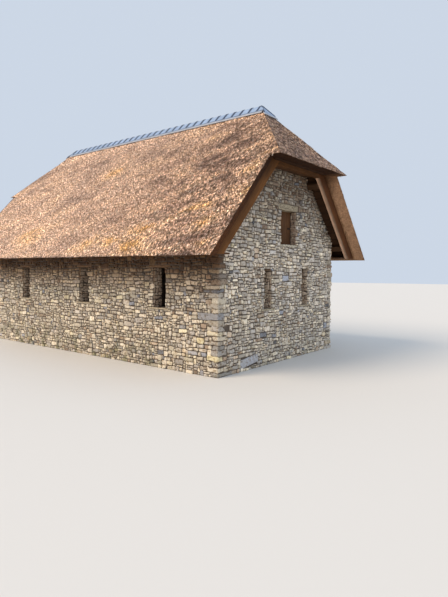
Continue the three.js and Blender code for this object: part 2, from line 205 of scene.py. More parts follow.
def rubble_stone():
    """Split limestone and sandstone rubble: matt, gritty, each stone in its own tone."""
    material, tree, shader = new_material("split_limestone_rubble")
    place = add_node(tree, "TexCoord")
    tone = add_node(tree, "Attribute", attribute_name="tone")
    shade = add_node(tree, "Attribute", attribute_name="shade")
    base = add_node(tree, "ValToRGB", {"Fac": (tone, "Fac")}, STONE_TONES)
    # Hollows, beds and iron stains in a stone are 20 to 60 mm wide.
    stain = add_node(tree, "TexNoise", {
        "Vector": (place, "Object"), "Scale": per_metre(50), "Detail": 5.0, "Roughness": 0.65})
    stain_tint = add_node(tree, "ValToRGB", {"Fac": (stain, "Fac")}, (
        (0.30, "#7A6650"), (0.41, "#C9B8A2"), (0.49, "#FFFFFF"), (0.60, "#FFFFFF"), (0.75, "#F0E3CB")))
    stained = add_node(tree, "Mix", {
        "Factor_Float": 0.8, "A_Color": (base, "Color"), "B_Color": (stain_tint, "Color")},
        data_type="RGBA", blend_type="MULTIPLY")
    # Grit is 2 mm in the real stone and is drawn at 9 mm, so that it shows at this distance.
    grit = add_node(tree, "TexNoise", {
        "Vector": (place, "Object"), "Scale": per_metre(9), "Detail": 3.0, "Roughness": 0.7})
    grit_tint = add_node(tree, "MapRange", {
        "Value": (grit, "Fac"), **NOISE_SPAN, "To Min": 0.7, "To Max": 1.24})
    speckled = add_node(tree, "VectorMath", {
        "Vector": (stained, "Result_Color"), "Scale": (grit_tint, "Result")}, operation="SCALE")
    shaded = add_node(tree, "VectorMath", {
        "Vector": (speckled, "Vector"), "Scale": (shade, "Fac")}, operation="SCALE")
    # Stones in painted shade, and the upper courses of the long walls, get a painted warm brown light.
    height = add_node(tree, "SeparateXYZ", {"Vector": (place, "Object")})
    painted_shading = add_node(tree, "MapRange", {
        "Value": (shade, "Fac"), "From Min": 0.25, "From Max": 0.75, "To Min": 1.0, "To Max": 0.0})
    depth = add_node(tree, "Math", {0: (height, "Y")}, operation="ABSOLUTE")
    long_wall = add_node(tree, "Math", {0: (depth, "Value"), 1: 2.27}, operation="GREATER_THAN")
    upper_courses = add_node(tree, "MapRange", {"Value": (height, "Z"), "From Min": 1.5, "From Max": 2.25})
    painted_upper_warmth = add_node(tree, "Math", {0: (upper_courses, "Result"), 1: (long_wall, "Value")}, operation="MULTIPLY")
    brown = add_node(tree, "Math", {0: (painted_shading, "Result"), 1: (painted_upper_warmth, "Value")}, operation="MAXIMUM")
    lit = add_node(tree, "Mix", {
        "Factor_Float": (brown, "Value"), "A_Color": (shaded, "Vector"), "B_Color": linear("#F0BF88")},
        data_type="RGBA", blend_type="MULTIPLY")
    # Green algae creep up the lowest courses, least near the dry corner that the photo shows.
    patch = add_node(tree, "TexNoise", {
        "Vector": (place, "Object"), "Scale": per_metre(260), "Detail": 5.0})
    damp_height = add_node(tree, "MapRange", {
        "Value": (height, "Z"), "From Min": 0.0, "From Max": 0.7, "To Min": 0.85, "To Max": 0.0})
    damp_patch = add_node(tree, "MapRange", {
        "Value": (patch, "Fac"), "From Min": 0.48, "From Max": 0.62})
    damp_place = add_node(tree, "MapRange", {
        "Value": (height, "X"), "From Min": 1.5, "From Max": 3.6, "To Min": 1.0, "To Max": 0.25})
    damp_spot = add_node(tree, "Math", {
        0: (damp_patch, "Result"), 1: (damp_place, "Result")}, operation="MULTIPLY")
    damp_and_painted_shade = add_node(tree, "Math", {
        0: (damp_height, "Result"), 1: (damp_spot, "Value")}, operation="MULTIPLY")
    mossy = add_node(tree, "Mix", {
        "Factor_Float": (damp_and_painted_shade, "Value"), "A_Color": (lit, "Result_Color"), "B_Color": linear("#7C7A55")},
        data_type="RGBA")
    dull = add_node(tree, "MapRange", {
        "Value": (stain, "Fac"), **NOISE_SPAN, "To Min": 0.78, "To Max": 0.95})
    relief = add_node(tree, "Math", {0: (stain, "Fac"), 1: (grit, "Fac")}, operation="ADD")
    finish_shader(tree, shader, (mossy, "Result_Color"), (dull, "Result"), (relief, "Value"), 6 * MM)
    return material


def lime_mortar(colour):
    """Earth and lime mortar with small stones in it, dull and crumbly."""
    material, tree, shader = new_material("earth_lime_mortar")
    place = add_node(tree, "TexCoord")
    # The stones that show in the plastered inside are 90 mm across.
    cobble = add_node(tree, "TexVoronoi", {"Vector": (place, "Object"), "Scale": per_metre(90)})
    crumb = add_node(tree, "TexNoise", {
        "Vector": (place, "Object"), "Scale": per_metre(14), "Detail": 5.0, "Roughness": 0.7})
    crumb_tint = add_node(tree, "MapRange", {
        "Value": (crumb, "Fac"), **NOISE_SPAN, "To Min": 0.6, "To Max": 1.25})
    cobble_tint = add_node(tree, "MapRange", {
        "Value": (cobble, "Distance"), "From Min": 0.1, "From Max": 0.6, "To Min": 1.15, "To Max": 0.7})
    tint = add_node(tree, "Math", {
        0: (crumb_tint, "Result"), 1: (cobble_tint, "Result")}, operation="MULTIPLY")
    tinted = add_node(tree, "VectorMath", {
        "Vector": colour[:3], "Scale": (tint, "Value")}, operation="SCALE")
    dull = add_node(tree, "MapRange", {"Value": (crumb, "Fac"), "To Min": 0.85, "To Max": 0.98})
    finish_shader(tree, shader, (tinted, "Vector"), (dull, "Result"), (crumb, "Fac"), 8 * MM)
    return material


def dressed_stone(name, tint):
    """Flat limestone slabs for lintels and sills, with bedding lines and tool marks, in a tint."""
    material, tree, shader = new_material(name)
    place = add_node(tree, "TexCoord")
    beds = add_node(tree, "Mapping", {"Vector": (place, "Object"), "Scale": (1.0, 1.0, 5.0)})
    # Bedding planes are 12 mm apart.
    bedding = add_node(tree, "TexNoise", {
        "Vector": (beds, "Vector"), "Scale": per_metre(60), "Detail": 6.0, "Roughness": 0.65})
    colour = add_node(tree, "ValToRGB", {"Fac": (bedding, "Fac")}, (
        (0.35, "#6F6353"), (0.46, "#A89B84"), (0.55, "#CDC2AC"), (0.68, "#DDD3BE")))
    grit = add_node(tree, "TexNoise", {
        "Vector": (place, "Object"), "Scale": per_metre(8), "Detail": 2.0})
    grit_tint = add_node(tree, "MapRange", {
        "Value": (grit, "Fac"), **NOISE_SPAN, "To Min": 0.85, "To Max": 1.1})
    speckled = add_node(tree, "VectorMath", {
        "Vector": (colour, "Color"), "Scale": (grit_tint, "Result")}, operation="SCALE")
    tinted = add_node(tree, "Mix", {
        "Factor_Float": 1.0, "A_Color": (speckled, "Vector"), "B_Color": linear(tint)},
        data_type="RGBA", blend_type="MULTIPLY")
    dull = add_node(tree, "MapRange", {"Value": (bedding, "Fac"), "To Min": 0.7, "To Max": 0.92})
    relief = add_node(tree, "Math", {0: (bedding, "Fac"), 1: (grit, "Fac")}, operation="ADD")
    finish_shader(tree, shader, (tinted, "Result_Color"), (dull, "Result"), (relief, "Value"), 5 * MM)
    return material


def floor_flags():
    """Worn stone flags laid in courses, with dusty joints."""
    material, tree, shader = new_material("worn_stone_flags")
    place = add_node(tree, "TexCoord")
    # Flags are 600 by 400 mm.
    flags = add_node(tree, "TexBrick", {
        "Vector": (place, "Object"), "Scale": 1.0, "Brick Width": 0.6, "Row Height": 0.4,
        "Mortar Size": 0.008, "Color1": linear("#968C7C"), "Color2": linear("#A79B88"),
        "Mortar": linear("#5E564A")})
    wear = add_node(tree, "TexNoise", {
        "Vector": (place, "Object"), "Scale": per_metre(120), "Detail": 6.0})
    wear_tint = add_node(tree, "MapRange", {
        "Value": (wear, "Fac"), **NOISE_SPAN, "To Min": 0.8, "To Max": 1.15})
    worn = add_node(tree, "VectorMath", {
        "Vector": (flags, "Color"), "Scale": (wear_tint, "Result")}, operation="SCALE")
    dull = add_node(tree, "MapRange", {"Value": (wear, "Fac"), "To Min": 0.55, "To Max": 0.85})
    finish_shader(tree, shader, (worn, "Vector"), (dull, "Result"), (flags, "Fac"), -4 * MM)
    return material


# The roof's weathered and golden patches, as the photo shows them: place along and up the slope and
# half sizes in metres, angle in degrees, then how dark (less than 0) or golden the patch is.
THATCH_PATCHES = (
    (3.20, 5.80, 0.62, 0.38, -20, -0.13), (3.45, 6.55, 0.50, 0.70, 0, -0.07),
    (3.95, 5.45, 0.45, 0.50, 0, -0.04), (1.80, 5.27, 0.52, 0.20, 4, -0.07),
    (2.50, 4.66, 0.75, 0.22, 15, -0.06), (1.27, 4.12, 0.45, 0.20, 12, -0.07),
    (2.85, 4.05, 0.50, 0.22, 6, -0.04), (4.02, 3.45, 0.50, 0.34, 19, -0.13),
    (1.32, 6.72, 0.42, 0.22, 11, -0.06), (3.05, 7.00, 0.42, 0.34, 7, -0.06),
    (-0.80, 5.20, 0.90, 0.25, 15, -0.06), (-1.20, 6.90, 0.60, 0.24, 10, -0.07),
    (2.20, 3.55, 0.55, 0.34, 20, 0.11), (0.85, 3.40, 0.50, 0.30, 15, 0.11),
    (0.00, 6.15, 0.75, 0.32, 8, 0.07), (3.85, 4.10, 0.32, 0.28, 20, 0.08),
    (-1.60, 3.90, 0.90, 0.45, 15, 0.09), (2.10, 7.30, 0.80, 0.22, 5, 0.05),
    (2.45, 6.35, 0.30, 0.30, 0, 0.07), (3.10, 4.60, 0.35, 0.20, 10, 0.07),
    (2.40, 5.15, 0.50, 0.16, 5, 0.05), (1.00, 7.05, 0.45, 0.22, 5, 0.06),
    (4.30, 4.85, 0.28, 0.55, 0, -0.06), (1.75, 3.50, 0.30, 0.20, 15, 0.08),
    (3.75, 5.10, 0.45, 0.30, 10, -0.07), (4.00, 4.60, 0.25, 0.25, 0, -0.06),
    (4.25, 4.05, 0.30, 0.25, 0, 0.06), (2.45, 3.30, 0.35, 0.15, 0, 0.06),
    (3.55, 3.28, 0.20, 0.12, 0, 0.05),
)


def patch_bias(tree, slope):
    """Adds up how dark or golden the roof is at a place, with ragged edges."""
    wobble = add_node(tree, "TexNoise", {"Vector": (slope, "UV"), "Scale": 2.2, "Detail": 4.0})
    shift = add_node(tree, "VectorMath", {
        "Vector": (wobble, "Color"), "Vector_001": (1.1, 0.8, 0.0), "Vector_002": (-0.55, -0.4, 0.0)},
        operation="MULTIPLY_ADD")
    ragged = add_node(tree, "VectorMath", {0: (slope, "UV"), 1: (shift, "Vector")}, operation="ADD")
    total = None
    for across, up, half_width, half_height, angle, strength in THATCH_PATCHES:
        place = add_node(tree, "Mapping", {
            "Vector": (ragged, "Vector"), "Location": (across, up, 0.0),
            "Rotation": (0, 0, math.radians(angle)), "Scale": (half_width, half_height, 1.0)},
            vector_type="TEXTURE")
        reach = add_node(tree, "VectorMath", {"Vector": (place, "Vector")}, operation="LENGTH")
        bias = add_node(tree, "MapRange", {
            "Value": (reach, "Value"), "From Min": 0.3, "From Max": 1.2,
            "To Min": strength, "To Max": 0.0})
        if total:
            total = add_node(tree, "Math", {0: total, 1: (bias, "Result")}, operation="ADD"), "Value"
        else:
            total = bias, "Result"
    return total


def water_reed(straw):
    """Combed water reed: a coat of stems and butt ends with warm, weathered and shaded patches."""
    material, tree, shader = new_material("combed_water_reed")
    slope = add_node(tree, "UVMap", uv_map="reed")
    split = add_node(tree, "SeparateXYZ", {"Vector": (slope, "UV")})
    # Reeds are 6 mm thick. They are drawn 20 mm wide and 46 mm long, so that they show.
    stems_place = add_node(tree, "Mapping", {
        "Vector": (slope, "UV"), "Scale": (per_metre(20), per_metre(46), 1.0)})
    stems = add_node(tree, "TexNoise", {
        "Vector": (stems_place, "Vector"), "Scale": 1.0, "Detail": 2.0, "Roughness": 0.6})
    stem_colour = add_node(tree, "ValToRGB", {"Fac": (stems, "Fac")}, (
        (0.39, "#4C3122"), (0.45, "#98745A"), (0.50, "#D8B9A1"), (0.55, "#F8DFCE"), (0.61, "#FDF2E8")))
    # Each butt end catches the light in its own way.
    butts = add_node(tree, "TexVoronoi", {"Vector": (stems_place, "Vector"), "Scale": 1.0})
    butt_pick = add_node(tree, "SeparateColor", {"Color": (butts, "Color")})
    butt_tint = add_node(tree, "MapRange", {
        "Value": (butt_pick, "Red"), "To Min": 0.62, "To Max": 1.5})
    # The gaps between the butts are darkened as painted shade.
    gap_tint = add_node(tree, "MapRange", {
        "Value": (butts, "Distance"), "From Min": 0.35, "From Max": 0.75, "To Min": 1.12, "To Max": 0.4})
    end_light = add_node(tree, "Math", {
        0: (butt_tint, "Result"), 1: (gap_tint, "Result")}, operation="MULTIPLY")
    # Holes between the butts, painted dark as shade, are 15 mm wide and are drawn 27 by 43 mm, so that
    # they show.
    hole_place = add_node(tree, "Mapping", {
        "Vector": (slope, "UV"), "Scale": (per_metre(54), per_metre(86), 1.0)})
    holes = add_node(tree, "TexVoronoi", {"Vector": (hole_place, "Vector"), "Scale": 1.0})
    hole_tint = add_node(tree, "MapRange", {
        "Value": (holes, "Distance"), "From Min": 0.13, "From Max": 0.36, "To Min": 0.34, "To Max": 1.1})
    light = add_node(tree, "Math", {
        0: (end_light, "Value"), 1: (hole_tint, "Result")}, operation="MULTIPLY")
    # Clumps of butts stand 38 mm wide and catch the light unevenly, most of all near the verge.
    clump_place = add_node(tree, "Mapping", {
        "Vector": (slope, "UV"), "Scale": (per_metre(38), per_metre(54), 1.0)})
    clumps = add_node(tree, "TexVoronoi", {"Vector": (clump_place, "Vector"), "Scale": 1.0})
    clump_pick = add_node(tree, "SeparateColor", {"Color": (clumps, "Color")})
    clump_tint = add_node(tree, "MapRange", {
        "Value": (clump_pick, "Green"), "To Min": 0.1, "To Max": 1.9})
    ruffled = add_node(tree, "MapRange", {
        "Value": (split, "X"), "From Min": 1.0, "From Max": 3.8, "To Min": 0.25, "To Max": 1.0})
    clump_light = add_node(tree, "Mix", {
        "Factor_Float": (ruffled, "Result"), "A_Float": 1.0, "B_Float": (clump_tint, "Result")})
    light = add_node(tree, "Math", {
        0: (light, "Value"), 1: (clump_light, "Result_Float")}, operation="MULTIPLY")
    lit_stems = add_node(tree, "VectorMath", {
        "Vector": (stem_colour, "Color"), "Scale": (light, "Value")}, operation="SCALE")
    # Weather leaves slanting streaks about 1 m long and 0.4 m high.
    patch_place = add_node(tree, "Mapping", {
        "Vector": (slope, "UV"), "Rotation": (0, 0, math.radians(27)), "Scale": (1.1, 0.4, 1.0)},
        vector_type="TEXTURE")
    patch = add_node(tree, "TexNoise", {
        "Vector": (patch_place, "Vector"), "Scale": 1.0, "Detail": 3.0, "Roughness": 0.48})
    # The streaks and patches grow stronger towards the near end.
    centred = add_node(tree, "Math", {0: (patch, "Fac"), 1: 0.5}, operation="SUBTRACT")
    streak_reach = add_node(tree, "MapRange", {
        "Value": (split, "X"), "From Min": 1.5, "From Max": 3.3, "To Min": 0.3, "To Max": 0.62})
    streaks = add_node(tree, "Math", {
        0: (centred, "Value"), 1: (streak_reach, "Result"), 2: 0.5}, operation="MULTIPLY_ADD")
    weather = add_node(tree, "Math", {
        0: (streaks, "Value"), 1: patch_bias(tree, slope)}, operation="ADD")
    patch_tint = add_node(tree, "ValToRGB", {"Fac": (weather, "Value")}, (
        (0.36, "#6C6065"), (0.44, "#AA9A93"), (0.50, "#E6D5C6"), (0.56, "#FFEBD0"), (0.63, "#FFDA90")))
    # The hips lie 20 m along the map from the long slopes, evener and greyer.
    patchy = add_node(tree, "MapRange", {
        "Value": (split, "X"), "From Min": 10.0, "From Max": 10.1, "To Min": 1.0, "To Max": 0.45})
    strong = add_node(tree, "MapRange", {
        "Value": (split, "X"), "From Min": 0.5, "From Max": 3.2, "To Min": 0.8, "To Max": 1.0})
    patchiness = add_node(tree, "Math", {
        0: (patchy, "Result"), 1: (strong, "Result")}, operation="MULTIPLY")
    coat = add_node(tree, "Mix", {
        "Factor_Float": (patchiness, "Value"), "A_Color": (lit_stems, "Vector"),
        "B_Color": (patch_tint, "Color")},
        data_type="RGBA", blend_type="MULTIPLY")
    warm = add_node(tree, "Mix", {
        "Factor_Float": 0.1, "A_Color": (coat, "Result_Color"), "B_Color": tuple(straw)},
        data_type="RGBA")
    on_hip = add_node(tree, "MapRange", {"Value": (split, "X"), "From Min": 10.0, "From Max": 10.1})
    weathered = add_node(tree, "Mix", {
        "Factor_Float": (on_hip, "Result"), "A_Color": (warm, "Result_Color"),
        "B_Color": linear("#CDC3C0")},
        data_type="RGBA", blend_type="MULTIPLY")
    # The roof is darker towards the near end and brighter towards the far end, as painted tree shade,
    # and darker towards the top, lighter again at the crown.
    end_tint = add_node(tree, "MapRange", {
        "Value": (split, "X"), "From Min": -2.5, "From Max": 4.6, "To Min": 1.31, "To Max": 0.83})
    top_tint = add_node(tree, "MapRange", {
        "Value": (split, "Y"), "From Min": 3.0, "From Max": 7.0, "To Min": 1.09, "To Max": 0.94})
    crown_tint = add_node(tree, "MapRange", {
        "Value": (split, "Y"), "From Min": 7.15, "From Max": 7.6, "To Min": 1.0, "To Max": 1.2})
    height_tint = add_node(tree, "Math", {
        0: (top_tint, "Result"), 1: (crown_tint, "Result")}, operation="MULTIPLY")
    end_and_height_tint = add_node(tree, "Math", {
        0: (end_tint, "Result"), 1: (height_tint, "Value")}, operation="MULTIPLY")
    # Tufts stand out of the coat every 28 mm or so and leave small shadows.
    tuft_place = add_node(tree, "Mapping", {
        "Vector": (slope, "UV"), "Scale": (per_metre(28), per_metre(60), 1.0)})
    tufts = add_node(tree, "TexNoise", {
        "Vector": (tuft_place, "Vector"), "Scale": 1.0, "Detail": 3.0})
    tuft_tint = add_node(tree, "MapRange", {
        "Value": (tufts, "Fac"), "From Min": 0.38, "From Max": 0.54, "To Min": 0.58, "To Max": 1.14})
    tint = add_node(tree, "Math", {
        0: (tuft_tint, "Result"), 1: (end_and_height_tint, "Value")}, operation="MULTIPLY")
    shaded = add_node(tree, "VectorMath", {
        "Vector": (weathered, "Result_Color"), "Scale": (tint, "Value")}, operation="SCALE")
    dull = add_node(tree, "MapRange", {"Value": (stems, "Fac"), "To Min": 0.7, "To Max": 0.95})
    relief = add_node(tree, "Math", {0: (stems, "Fac"), 1: (tufts, "Fac")}, operation="ADD")
    finish_shader(tree, shader, (shaded, "Vector"), (dull, "Result"), (relief, "Value"), 22 * MM, POROUS)
    return material


def cut_reed():
    """The cut butt ends of the reed at eaves and verges: small pale rings over gaps painted dark as
    shade.
    """
    material, tree, shader = new_material("cut_reed_butts")
    place = add_node(tree, "TexCoord")
    # Butts are 7 mm across and are drawn at 11 mm, so that they show.
    butts = add_node(tree, "TexVoronoi", {"Vector": (place, "Object"), "Scale": per_metre(11)})
    band = add_node(tree, "TexNoise", {
        "Vector": (place, "Object"), "Scale": per_metre(150), "Detail": 4.0})
    butt_colour = add_node(tree, "ValToRGB", {"Fac": (butts, "Distance")}, (
        (0.10, "#E8BFA0"), (0.40, "#C09879"), (0.65, "#735646")))
    band_tint = add_node(tree, "MapRange", {
        "Value": (band, "Fac"), **NOISE_SPAN, "To Min": 0.75, "To Max": 1.2})
    # The cut ends at the front verges and the hips are painted dark as shade, those at the back verges
    # pale as painted light.
    split = add_node(tree, "SeparateXYZ", {"Vector": (place, "Object")})
    painted_shading = add_node(tree, "MapRange", {"Value": (split, "Y"), "From Min": 1.0, "From Max": 1.6})
    verge_light_ramp = add_node(tree, "ValToRGB", {"Fac": (painted_shading, "Result")}, ((0.0, "#81623B"), (1.0, "#FFF3DD")))
    lit_butts = add_node(tree, "Mix", {
        "Factor_Float": 1.0, "A_Color": (butt_colour, "Color"), "B_Color": (verge_light_ramp, "Color")},
        data_type="RGBA", blend_type="MULTIPLY")
    # The dark verges are darkest at their tops, as painted shade under the half-hips.
    damp_and_painted_shade = add_node(tree, "MapRange", {
        "Value": (split, "Z"), "From Min": 2.5, "From Max": 3.8, "To Min": 1.2, "To Max": 0.5})
    painted_shade_tint = add_node(tree, "Mix", {
        "Factor_Float": (painted_shading, "Result"), "A_Float": (damp_and_painted_shade, "Result"), "B_Float": 1.0})
    tint = add_node(tree, "Math", {
        0: (band_tint, "Result"), 1: (painted_shade_tint, "Result_Float")}, operation="MULTIPLY")
    colour = add_node(tree, "VectorMath", {
        "Vector": (lit_butts, "Result_Color"), "Scale": (tint, "Value")}, operation="SCALE")
    dull = add_node(tree, "MapRange", {"Value": (butts, "Distance"), "To Min": 0.8, "To Max": 0.95})
    finish_shader(
        tree, shader, (colour, "Vector"), (dull, "Result"), (butts, "Distance"), -10 * MM, POROUS)
    return material


def loose_reed():
    """Single reed stems that stand out of the coat, each a little paler or browner."""
    material, tree, shader = new_material("loose_reed_stems")
    place = add_node(tree, "TexCoord")
    tone = add_node(tree, "Attribute", attribute_name="tone")
    colour = add_node(tree, "ValToRGB", {"Fac": (tone, "Fac")}, (
        (0.0, "#4A362B"), (0.35, "#8E705B"), (0.7, "#CDB096"), (1.0, "#EAD6BF")))
    mottle = add_node(tree, "TexNoise", {
        "Vector": (place, "Object"), "Scale": per_metre(40), "Detail": 2.0})
    mottle_tint = add_node(tree, "MapRange", {
        "Value": (mottle, "Fac"), **NOISE_SPAN, "To Min": 0.85, "To Max": 1.1})
    shade = add_node(tree, "Attribute", attribute_name="shade")
    tint = add_node(tree, "Math", {0: (mottle_tint, "Result"), 1: (shade, "Fac")}, operation="MULTIPLY")
    tinted = add_node(tree, "VectorMath", {
        "Vector": (colour, "Color"), "Scale": (tint, "Value")}, operation="SCALE")
    dull = add_node(tree, "MapRange", {"Value": (mottle, "Fac"), "To Min": 0.6, "To Max": 0.8})
    finish_shader(tree, shader, (tinted, "Vector"), (dull, "Result"), (mottle, "Fac"), 2 * MM)
    return material


def ridge_ceramic(name, colour):
    """Fired blue-grey ridge tile: smooth, a little glossy, clouded by the kiln."""
    material, tree, shader = new_material(name)
    place = add_node(tree, "TexCoord")
    cloud = add_node(tree, "TexNoise", {
        "Vector": (place, "Object"), "Scale": per_metre(180), "Detail": 5.0})
    fleck = add_node(tree, "TexNoise", {
        "Vector": (place, "Object"), "Scale": per_metre(12), "Detail": 2.0})
    cloud_tint = add_node(tree, "MapRange", {
        "Value": (cloud, "Fac"), **NOISE_SPAN,
        "To Min": 0.82, "To Max": 1.12})
    fleck_tint = add_node(tree, "MapRange", {
        "Value": (fleck, "Fac"), **NOISE_SPAN, "To Min": 0.93, "To Max": 1.06})
    tint = add_node(tree, "Math", {
        0: (cloud_tint, "Result"), 1: (fleck_tint, "Result")}, operation="MULTIPLY")
    tinted = add_node(tree, "VectorMath", {
        "Vector": tuple(colour)[:3], "Scale": (tint, "Value")}, operation="SCALE")
    dull = add_node(tree, "MapRange", {"Value": (cloud, "Fac"), "To Min": 0.38, "To Max": 0.62})
    finish_shader(tree, shader, (tinted, "Vector"), (dull, "Result"), (fleck, "Fac"), 1 * MM)
    return material


def sawn_oak(name, colour, run, board_width=None, pitch=0.0, fade=None):
    """Sawn oak left outdoors: grain along the timber, streaks, and gaps where it is boarded.

    A fade, painted light and shade, is a direction, where it starts and ends along it in metres, and the
    tint at both.
    """
    material, tree, shader = new_material(name)
    place = add_node(tree, "TexCoord")
    # On a sloping board the grain runs down both slopes alike.
    sides = add_node(tree, "VectorMath", {0: (place, "Object")}, operation="ABSOLUTE")
    sloped = add_node(tree, "Mapping", {"Vector": (sides, "Vector"), "Rotation": (pitch, 0, 0)})
    # Grain lines are 6 mm apart and run 300 mm and more along the timber.
    stretch = [per_metre(12)] * 3
    stretch[run] = per_metre(320)
    grain_place = add_node(tree, "Mapping", {
        "Vector": (sloped, "Vector") if pitch else (place, "Object"), "Scale": tuple(stretch)})
    grain = add_node(tree, "TexNoise", {
        "Vector": (grain_place, "Vector"), "Scale": 1.0, "Detail": 4.0, "Roughness": 0.6,
        "Distortion": 0.4})
    wash = add_node(tree, "TexNoise", {
        "Vector": (place, "Object"), "Scale": per_metre(350), "Detail": 4.0})
    grain_tint = add_node(tree, "MapRange", {
        "Value": (grain, "Fac"), **NOISE_SPAN, "To Min": 0.62, "To Max": 1.25})
    wash_tint = add_node(tree, "MapRange", {
        "Value": (wash, "Fac"), **NOISE_SPAN, "To Min": 0.8, "To Max": 1.15})
    tint = add_node(tree, "Math", {
        0: (grain_tint, "Result"), 1: (wash_tint, "Result")}, operation="MULTIPLY")
    if fade:
        # Painted light and shade along the fade's direction.
        reach = add_node(tree, "VectorMath", {0: (sides, "Vector"), 1: fade[0]}, operation="DOT_PRODUCT")
        painted_edge_light = add_node(tree, "MapRange", {
            "Value": (reach, "Value"), "From Min": fade[1], "From Max": fade[2], "To Min": fade[3],
            "To Max": fade[4]})
        tint = add_node(tree, "Math", {0: (tint, "Value"), 1: (painted_edge_light, "Result")}, operation="MULTIPLY")
    if board_width:
        across = 1 if run == 0 else 0
        split = add_node(tree, "SeparateXYZ", {"Vector": (place, "Object")})
        share = add_node(tree, "Math", {
            0: (split, "XYZ"[across]), 1: board_width}, operation="DIVIDE")
        part = add_node(tree, "Math", {0: (share, "Value")}, operation="FRACT")
        seam = add_node(tree, "Math", {0: (part, "Value"), 1: 0.07}, operation="GREATER_THAN")
        gap_tint = add_node(tree, "MapRange", {"Value": (seam, "Value"), "To Min": 0.25, "To Max": 1.0})
        tint = add_node(tree, "Math", {0: (tint, "Value"), 1: (gap_tint, "Result")}, operation="MULTIPLY")
    tinted = add_node(tree, "VectorMath", {
        "Vector": tuple(colour)[:3], "Scale": (tint, "Value")}, operation="SCALE")
    dull = add_node(tree, "MapRange", {"Value": (grain, "Fac"), "To Min": 0.62, "To Max": 0.85})
    finish_shader(tree, shader, (tinted, "Vector"), (dull, "Result"), (grain, "Fac"), 2 * MM, POROUS)
    return material


def black_iron():
    """Forged iron, blackened and a little rusty in the hammer marks."""
    material, tree, shader = new_material("forged_black_iron")
    place = add_node(tree, "TexCoord")
    # Hammer marks are 15 mm across.
    marks = add_node(tree, "TexNoise", {
        "Vector": (place, "Object"), "Scale": per_metre(15), "Detail": 3.0})
    colour = add_node(tree, "ValToRGB", {"Fac": (marks, "Fac")}, (
        (0.35, "#1E1D1C"), (0.55, "#2B2A29"), (0.72, "#4A3328")))
    dull = add_node(tree, "MapRange", {"Value": (marks, "Fac"), "To Min": 0.4, "To Max": 0.75})
    shader.inputs["Metallic"].default_value = 0.8
    finish_shader(tree, shader, (colour, "Color"), (dull, "Result"), (marks, "Fac"), 1.5 * MM)
    return material


def mesh_piece(name, bm, materials, slot, replaced=(), smooth=False):
    """Makes a finished piece from a bmesh, riding on the house."""
    mesh = bpy.data.meshes.new(name)
    bm.to_mesh(mesh)
    bm.free()
    return finished(name, mesh, materials, slot, replaced, smooth)


def finished(name, mesh, materials, slot, replaced=(), smooth=False):
    """Links a mesh as a named piece with its materials and its body; the slot is not used."""
    for material in materials:
        mesh.materials.append(material)
    mesh.polygons.foreach_set("use_smooth", [smooth] * len(mesh.polygons))
    piece = bpy.data.objects.new(name, mesh)
    bpy.context.scene.collection.objects.link(piece)
    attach(piece, "root")
    if replaced:
        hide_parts(*replaced)
    return piece


def paint(material, *names):
    """Gives CAD nodes whose shape is right their finish."""
    for name in names:
        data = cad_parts[name].data
        data.materials.clear()
        data.materials.append(material)


def copy_of(*names):
    """One bmesh with the merged and tidied solids of some CAD nodes."""
    bm = bmesh.new()
    for name in names:
        bm.from_mesh(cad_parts[name].data)
    bmesh.ops.remove_doubles(bm, verts=bm.verts, dist=0.01 * MM)
    bmesh.ops.dissolve_limit(bm, angle_limit=math.radians(0.5), verts=bm.verts, edges=bm.edges)
    return bm


def worn(bm, edge, swell, feature, seed):
    """Rounds the sharp edges of solids and makes their faces a little uneven."""
    sharp = [e for e in bm.edges if e.calc_face_angle(0) > math.radians(20)]
    bmesh.ops.bevel(
        bm, geom=sharp, offset=edge, offset_type="OFFSET", segments=2, profile=0.5,
        affect="EDGES", clamp_overlap=True, material=-1)
    bm.normal_update()
    shift = Vector((seed * 3.7, seed * 1.9, seed * 5.3))
    for vert in bm.verts:
        vert.co += vert.normal * swell * noise.noise(vert.co / feature + shift)
    return bm


def add_block(bm, low, high, edge, turn=None):
    """Adds a box with softened edges between two corners."""
    low, high = Vector(low), Vector(high)
    made = bmesh.ops.create_cube(bm, size=1.0)["verts"]
    size = high - low
    bmesh.ops.transform(bm, matrix=Matrix.Diagonal((*size, 1.0)), verts=made)
    if turn:
        bmesh.ops.transform(bm, matrix=turn, verts=made)
    bmesh.ops.translate(bm, vec=(low + high) / 2, verts=made)
    edges = list({edge for vert in made for edge in vert.link_edges})
    bmesh.ops.bevel(
        bm, geom=edges, offset=edge, offset_type="OFFSET", segments=2, profile=0.5,
        affect="EDGES", clamp_overlap=True, material=-1)


def add_plain_block(bm, low, high):
    """Adds a box between two corners, cut into short lengths that can be made uneven."""
    made = bmesh.ops.create_cube(bm, size=1.0)["verts"]
    bmesh.ops.transform(bm, matrix=Matrix.Diagonal((*(high - low), 1.0)), verts=made)
    bmesh.ops.translate(bm, vec=(low + high) / 2, verts=made)
    edges = list({edge for vert in made for edge in vert.link_edges})
    longest = max(edge.calc_length() for edge in edges)
    bmesh.ops.subdivide_edges(bm, edges=[e for e in edges if e.calc_length() > 0.9 * longest], cuts=6)


class Shape:
    """One small solid, kept as arrays so that it can be repeated many times."""

    def __init__(self, bm, unit=True):
        self.unit = unit
        bm.verts.index_update()
        self.points = np.array([vert.co for vert in bm.verts])
        self.corners = np.array([vert.index for face in bm.faces for vert in face.verts])
        self.sides = np.array([len(face.verts) for face in bm.faces])
        bm.free()

    def fitted(self, size):
        """The points at a size. Long solids keep the corners of short ones."""
        if not self.unit:
            return self.points
        size = np.array(size)
        reach = np.minimum(size, 1.4 * min(size[0], size[2]))
        return np.sign(self.points) * (size / 2 - (0.5 - np.abs(self.points)) * reach)


